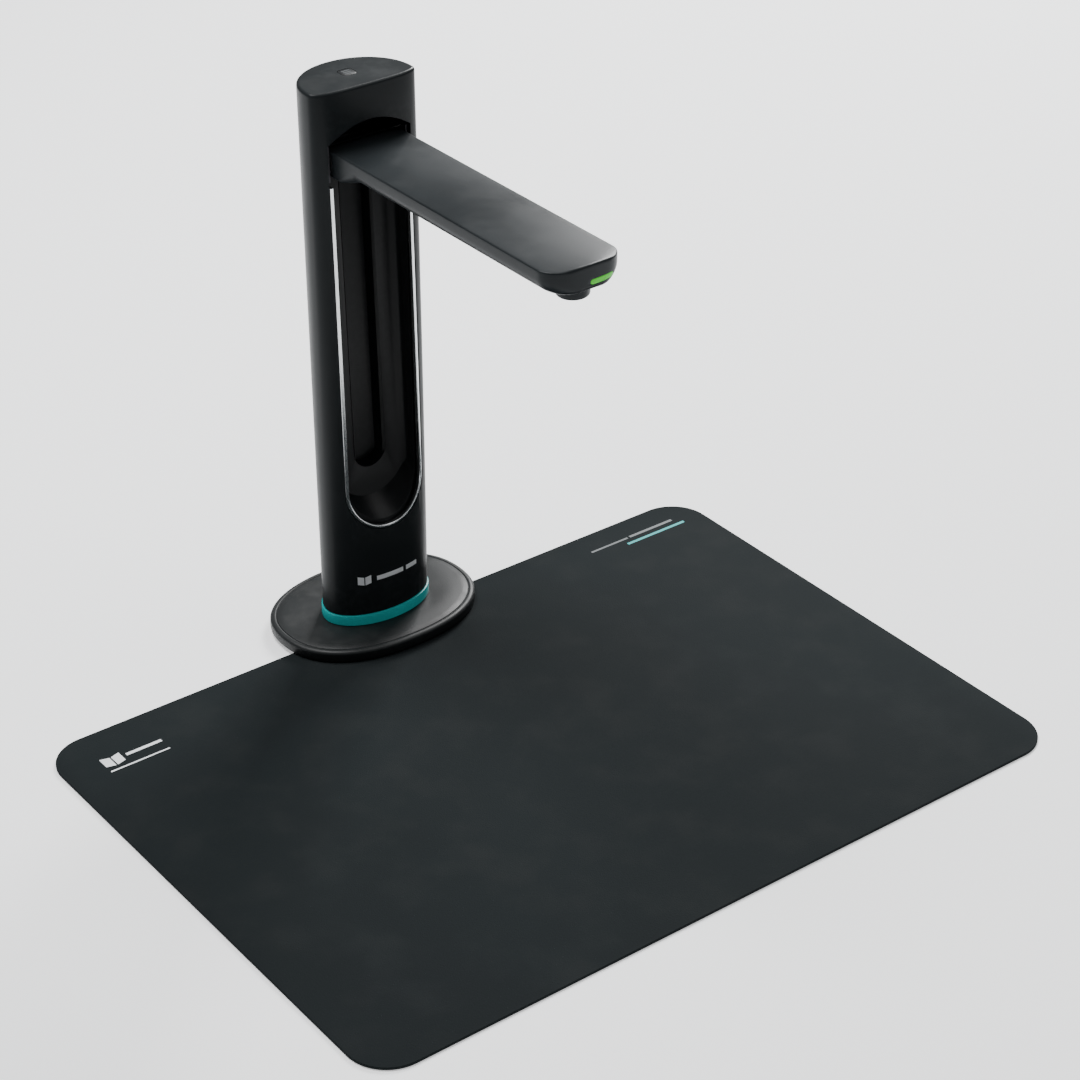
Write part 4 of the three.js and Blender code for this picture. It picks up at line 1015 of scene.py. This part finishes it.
class SCANNER_OT_camera(bpy.types.Operator):
    """Makes the camera's housing, barrel and front glass"""

    bl_idname = "scanner.camera"
    bl_label = "Camera"

    def execute(self, context):
        """Spins each piece from its profile about the camera's axis."""
        place = (0, (HOUSING_LOW.y + HOUSING_HIGH.y) / 2, 0)
        bore = (BARREL_HIGH.x - BARREL_LOW.x) / 2
        radius = (HOUSING_HIGH.x - HOUSING_LOW.x) / 2
        low, high = HOUSING_LOW.z, HOUSING_HIGH.z
        profile = [(bore + GAP, low + 0.4), (bore + GAP + 0.3, low)]
        profile += arc(radius - 2.2, low + 2.2, 2.2, 2.2, -90, 0, 8)
        profile += [(radius, high), (bore + GAP, high), (bore + GAP, low + 0.4)]
        piece(turned(profile, place), "lens_ring", "camera_arm", "arm_black", ["lens_housing"])
        low, high = BARREL_LOW.z, BARREL_HIGH.z
        throat = bore - 2
        profile = [(0, low + 2), (throat - 1, low + 2), (throat - 0.6, low + 1.4), (throat, low + 1.4)]
        profile += [(throat + 0.3, low + 0.3), (throat + 0.6, low), (bore - 0.2, low), (bore, low + 0.2)]
        profile += [(bore, high - 0.2), (bore - 0.2, high), (0, high)]
        piece(turned(profile, place), "lens_tube", "camera_arm", "lens_black", ["lens_barrel"])
        low, high = GLASS_LOW.z, GLASS_HIGH.z
        profile = [(0, low), (bore * 0.5, low + 0.08), (bore - 0.3, low + 0.3), (bore, low + 0.5)]
        profile += [(bore, high), (0, high)]
        piece(turned(profile, place), "front_glass", "camera_arm", "lens_glass", ["lens_glass"])
        return {"FINISHED"}


# ---------------------------------------------------------------- button, mat and marks
class SCANNER_OT_button(bpy.types.Operator):
    """Makes the power button in the back cover"""

    bl_idname = "scanner.button"
    bl_label = "Power button"

    def execute(self, context):
        """Spins a dished cap with a retaining collar."""
        middle_z = (BUTTON_LOW.z + BUTTON_HIGH.z) / 2
        length = BUTTON_HIGH.y - BUTTON_LOW.y
        collar = (BUTTON_HIGH.x - BUTTON_LOW.x) / 2
        cap = collar - 1.4
        profile = [(0, 0), (collar, 0), (collar, 1.2), (cap, 1.2), (cap, length - 0.5)]
        profile += [(cap - 0.15, length - 0.15), (cap - 0.5, length), (cap - 1.2, length - 0.1)]
        profile += [(cap * 0.4, length - 0.45), (0, length - 0.5)]
        button = turned(profile, (0, BUTTON_LOW.y, middle_z), 48, "Y")
        piece(button, "power_key", "power_button", "button_black", ["power_button"])
        return {"FINISHED"}


class SCANNER_OT_mat(bpy.types.Operator):
    """Makes the scanning mat"""

    bl_idname = "scanner.mat"
    bl_label = "Scanning mat"

    def execute(self, context):
        """Rounds the mat's corners and eases its edges."""
        half = (MAT_HIGH.x - MAT_LOW.x) / 2
        middle = (MAT_HIGH.x + MAT_LOW.x) / 2
        outline = rounded_outline(half, MAT_LOW.y, MAT_HIGH.y, MAT_CORNER, middle, 32)
        mat = eased(prism(outline, "Z", MAT_LOW.z, MAT_HIGH.z), 0.45, 3)
        sheet = piece(mat, "mat_sheet", "scan_mat", "mat_surface", ["scan_mat"])
        return {"FINISHED"}


def bar(x, z, length, height):
    """A printed bar: its lower left corner, length and height."""
    return [(x, z), (x + length, z), (x + length, z + height), (x, z + height)]


def printed(shapes, place, thickness, name, finish, body, slot):
    """Thin printed shapes, laid on a surface by place, which maps a drawing's point and its height."""
    bm = bmesh.new()
    for outline in shapes:
        corners = [bm.verts.new((a, b, 0)) for a, b in outline]
        face = bm.faces.new(corners)
        grown = bmesh.ops.extrude_face_region(bm, geom=[face])["geom"]
        raised = [g for g in grown if isinstance(g, bmesh.types.BMVert)]
        bmesh.ops.translate(bm, vec=(0, 0, thickness), verts=raised)
    for cut in range(-40, 41, 4):
        geom = bm.verts[:] + bm.edges[:] + bm.faces[:]
        bmesh.ops.bisect_plane(bm, geom=geom, plane_co=(cut, 0, 0), plane_no=(1, 0, 0), dist=1e-5)
    for vert in bm.verts:
        vert.co = place(*vert.co)
    return piece(draft(bm), name, body, slot, finish=finish)


def book_mark(x, z, size):
    """A plain open-book pictogram: two leaning pages."""
    page = [(0, 0.12), (0.46, 0), (0.46, 0.68), (0, 0.8)]
    left = [(x + a * size, z + b * size) for a, b in page]
    right = [(x + (1 - a) * size, z + b * size) for a, b in reversed(page)]
    return [left, right]


class SCANNER_OT_marks(bpy.types.Operator):
    """Prints plain marks on the column's foot, two corners of the mat and the touch window"""

    bl_idname = "scanner.marks"
    bl_label = "Printed marks"

    def execute(self, context):
        """Draws pictograms and bars, and no lettering."""
        thick = context.scene.scanner_sizes.print_height
        white = print_finish("White Print", (0.62, 0.64, 0.65))
        teal = print_finish("Teal Print", (0.02, 0.30, 0.30))
        grey = print_finish("Grey Print", (0.11, 0.12, 0.125))
        faint = print_finish("Faint Print", (0.045, 0.05, 0.053))
        mat_top = MAT_HIGH.z

        def on_column(a, b, c):
            return (a, column_front(a, b) - c - 0.01, b)

        def on_mat(a, b, c):
            return (a, b, mat_top + c + 0.005)

        def on_key(a, b, c):
            return (a, b, TOUCH_HIGH.z + c - thick + 0.01)

        shapes = book_mark(-26, 43, 9) + [bar(-13, 45, 21, 3.4), bar(10.5, 45, 10, 3.4)]
        printed(shapes, on_column, thick, "column_print", white, "stand", "frosted_window")
        left = MAT_LOW.x + 27
        rear = MAT_HIGH.y - 40
        shapes = book_mark(left, rear, 14)
        shapes += [bar(left + 17, rear + 5, 26, 2.6), bar(left, rear - 5, 43, 1.3)]
        printed(shapes, on_mat, thick, "mat_print_left", white, "scan_mat", "frosted_window")
        right = MAT_HIGH.x - 24
        line = MAT_HIGH.y - 22
        shapes = [bar(right - 74, line, 33, 1.8), bar(right - 39, line, 39, 2.4)]
        printed(shapes, on_mat, thick, "mat_print_right", grey, "scan_mat", "frosted_window")
        shapes = [bar(right - 46, line - 7, 52, 2.4)]
        printed(shapes, on_mat, thick, "mat_print_teal", teal, "scan_mat", "teal_light_guide")
        key_y = (TOUCH_LOW.y + TOUCH_HIGH.y) / 2 - 3
        shapes = [bar(-3, key_y + step, 6, 1.2) for step in (4.8, 2.4, 0)]
        printed(shapes, on_key, thick, "key_print", faint, "stand", "touch_light_window")
        return {"FINISHED"}


class SCANNER_OT_frame_finishes(bpy.types.Operator):
    """Gives every frame node that stays in sight its finish"""

    bl_idname = "scanner.frame_finishes"
    bl_label = "Frame finishes"

    def execute(self, context):
        """Reads each node's slot from the record."""
        for row in frame["record"]["subparts"]:
            node = frame["nodes"][row["node"]]
            if node.hide_render:
                continue
            finish = finish_for(row["material_slot"])
            if not node.material_slots:
                node.data.materials.append(finish)
            for holder in node.material_slots:
                holder.material = finish
        return {"FINISHED"}


# ---------------------------------------------------------------- stage
class SCANNER_OT_stage(bpy.types.Operator):
    """Sets a pale floor, soft studio lights and the camera"""

    bl_idname = "scanner.stage"
    bl_label = "Stage"

    def execute(self, context):
        """Lays the floor, hangs the lights and aims the camera."""
        bm = bmesh.new()
        bmesh.ops.create_grid(bm, x_segments=2, y_segments=2, size=6)
        floor = draft(bm, "floor")
        floor.data.transform(Matrix.Translation((0, 0, -0.0002)))
        paper, _, shader = new_finish(
            "Pale Floor", base_color=(0.86, 0.87, 0.88, 1), roughness=0.9, specular_ior_level=0
        )
        shader.inputs["Emission Color"].default_value = (1, 1, 1, 1)
        shader.inputs["Emission Strength"].default_value = 0.5
        floor.data.materials.append(paper)
        self.light("overhead", (-0.35, 0.75, 2.2), (0, 0.05, 0.2), 60)
        self.light("back_sheen", (2.1, 1.45, 1.75), (0, 0.1, 0.3), 125)
        self.light("front_top", (0.95, -0.4, 1.75), (0, 0.1, 0.1), 7)
        world = context.scene.world or bpy.data.worlds.new("World")
        context.scene.world = world
        world.use_nodes = True
        world.node_tree.nodes["Background"].inputs[0].default_value = (0.95, 0.97, 1.0, 1)
        world.node_tree.nodes["Background"].inputs[1].default_value = 0.2
        self.camera(context)
        return {"FINISHED"}

    @staticmethod
    def light(name, place, target, power):
        """A square soft light, a metre wide, that faces a target."""
        lamp = bpy.data.lights.new(name, "AREA")
        lamp.energy = power
        lamp.size = 1.0
        holder = bpy.data.objects.new(name, lamp)
        holder.location = place
        holder.rotation_euler = (Vector(target) - Vector(place)).to_track_quat("-Z", "Y").to_euler()
        bpy.context.scene.collection.objects.link(holder)

    @staticmethod
    def camera(context):
        """A long lens, high and to the left of the front."""
        azimuth, pitch, roll = math.radians(36.975), math.radians(31.465), math.radians(-0.238)
        lens = bpy.data.cameras.new("camera")
        lens.lens = 91.35
        lens.sensor_width = 36
        lens.clip_end = 20
        view = bpy.data.objects.new("camera", lens)
        ahead = Vector((
            math.sin(azimuth) * math.cos(pitch),
            math.cos(azimuth) * math.cos(pitch),
            -math.sin(pitch),
        ))
        turn = ahead.to_track_quat("-Z", "Y").to_matrix().to_4x4() @ Matrix.Rotation(roll, 4, "Z")
        view.matrix_world = Matrix.Translation((-0.8663, -1.17365, 1.034)) @ turn
        context.scene.collection.objects.link(view)
        context.scene.camera = view


STEPS = (
    SCANNER_OT_base,
    SCANNER_OT_light_ring,
    SCANNER_OT_column,
    SCANNER_OT_trim,
    SCANNER_OT_tray,
    SCANNER_OT_arm,
    SCANNER_OT_camera,
    SCANNER_OT_button,
    SCANNER_OT_mat,
    SCANNER_OT_marks,
    SCANNER_OT_frame_finishes,
    SCANNER_OT_stage,
)


class SCANNER_PT_panel(bpy.types.Panel):
    """Lists the scanner's settings and its building steps"""

    bl_idname = "SCANNER_PT_panel"
    bl_label = "Book Scanner"
    bl_space_type = "VIEW_3D"
    bl_region_type = "UI"
    bl_category = "Scanner"

    def draw(self, context):
        """Draws the settings above one button for each step."""
        for settings in (context.scene.scanner_sizes, context.scene.scanner_colours):
            for key in settings.__annotations__:
                self.layout.prop(settings, key)
        for step in STEPS:
            self.layout.operator(step.bl_idname)


CLASSES = (ScannerSizes, ScannerColours, *STEPS, SCANNER_PT_panel)


def register():
    """Registers the classes and the scene's settings."""
    for cls in CLASSES:
        bpy.utils.register_class(cls)
    bpy.types.Scene.scanner_sizes = bpy.props.PointerProperty(type=ScannerSizes)
    bpy.types.Scene.scanner_colours = bpy.props.PointerProperty(type=ScannerColours)


def unregister():
    """Removes what register added."""
    del bpy.types.Scene.scanner_colours
    del bpy.types.Scene.scanner_sizes
    for cls in reversed(CLASSES):
        bpy.utils.unregister_class(cls)


def main():
    """Builds the scanner step by step."""
    register()
    for step in STEPS:
        group, name = step.bl_idname.split(".")
        getattr(getattr(bpy.ops, group), name)()


if __name__ == "__main__":
    main()
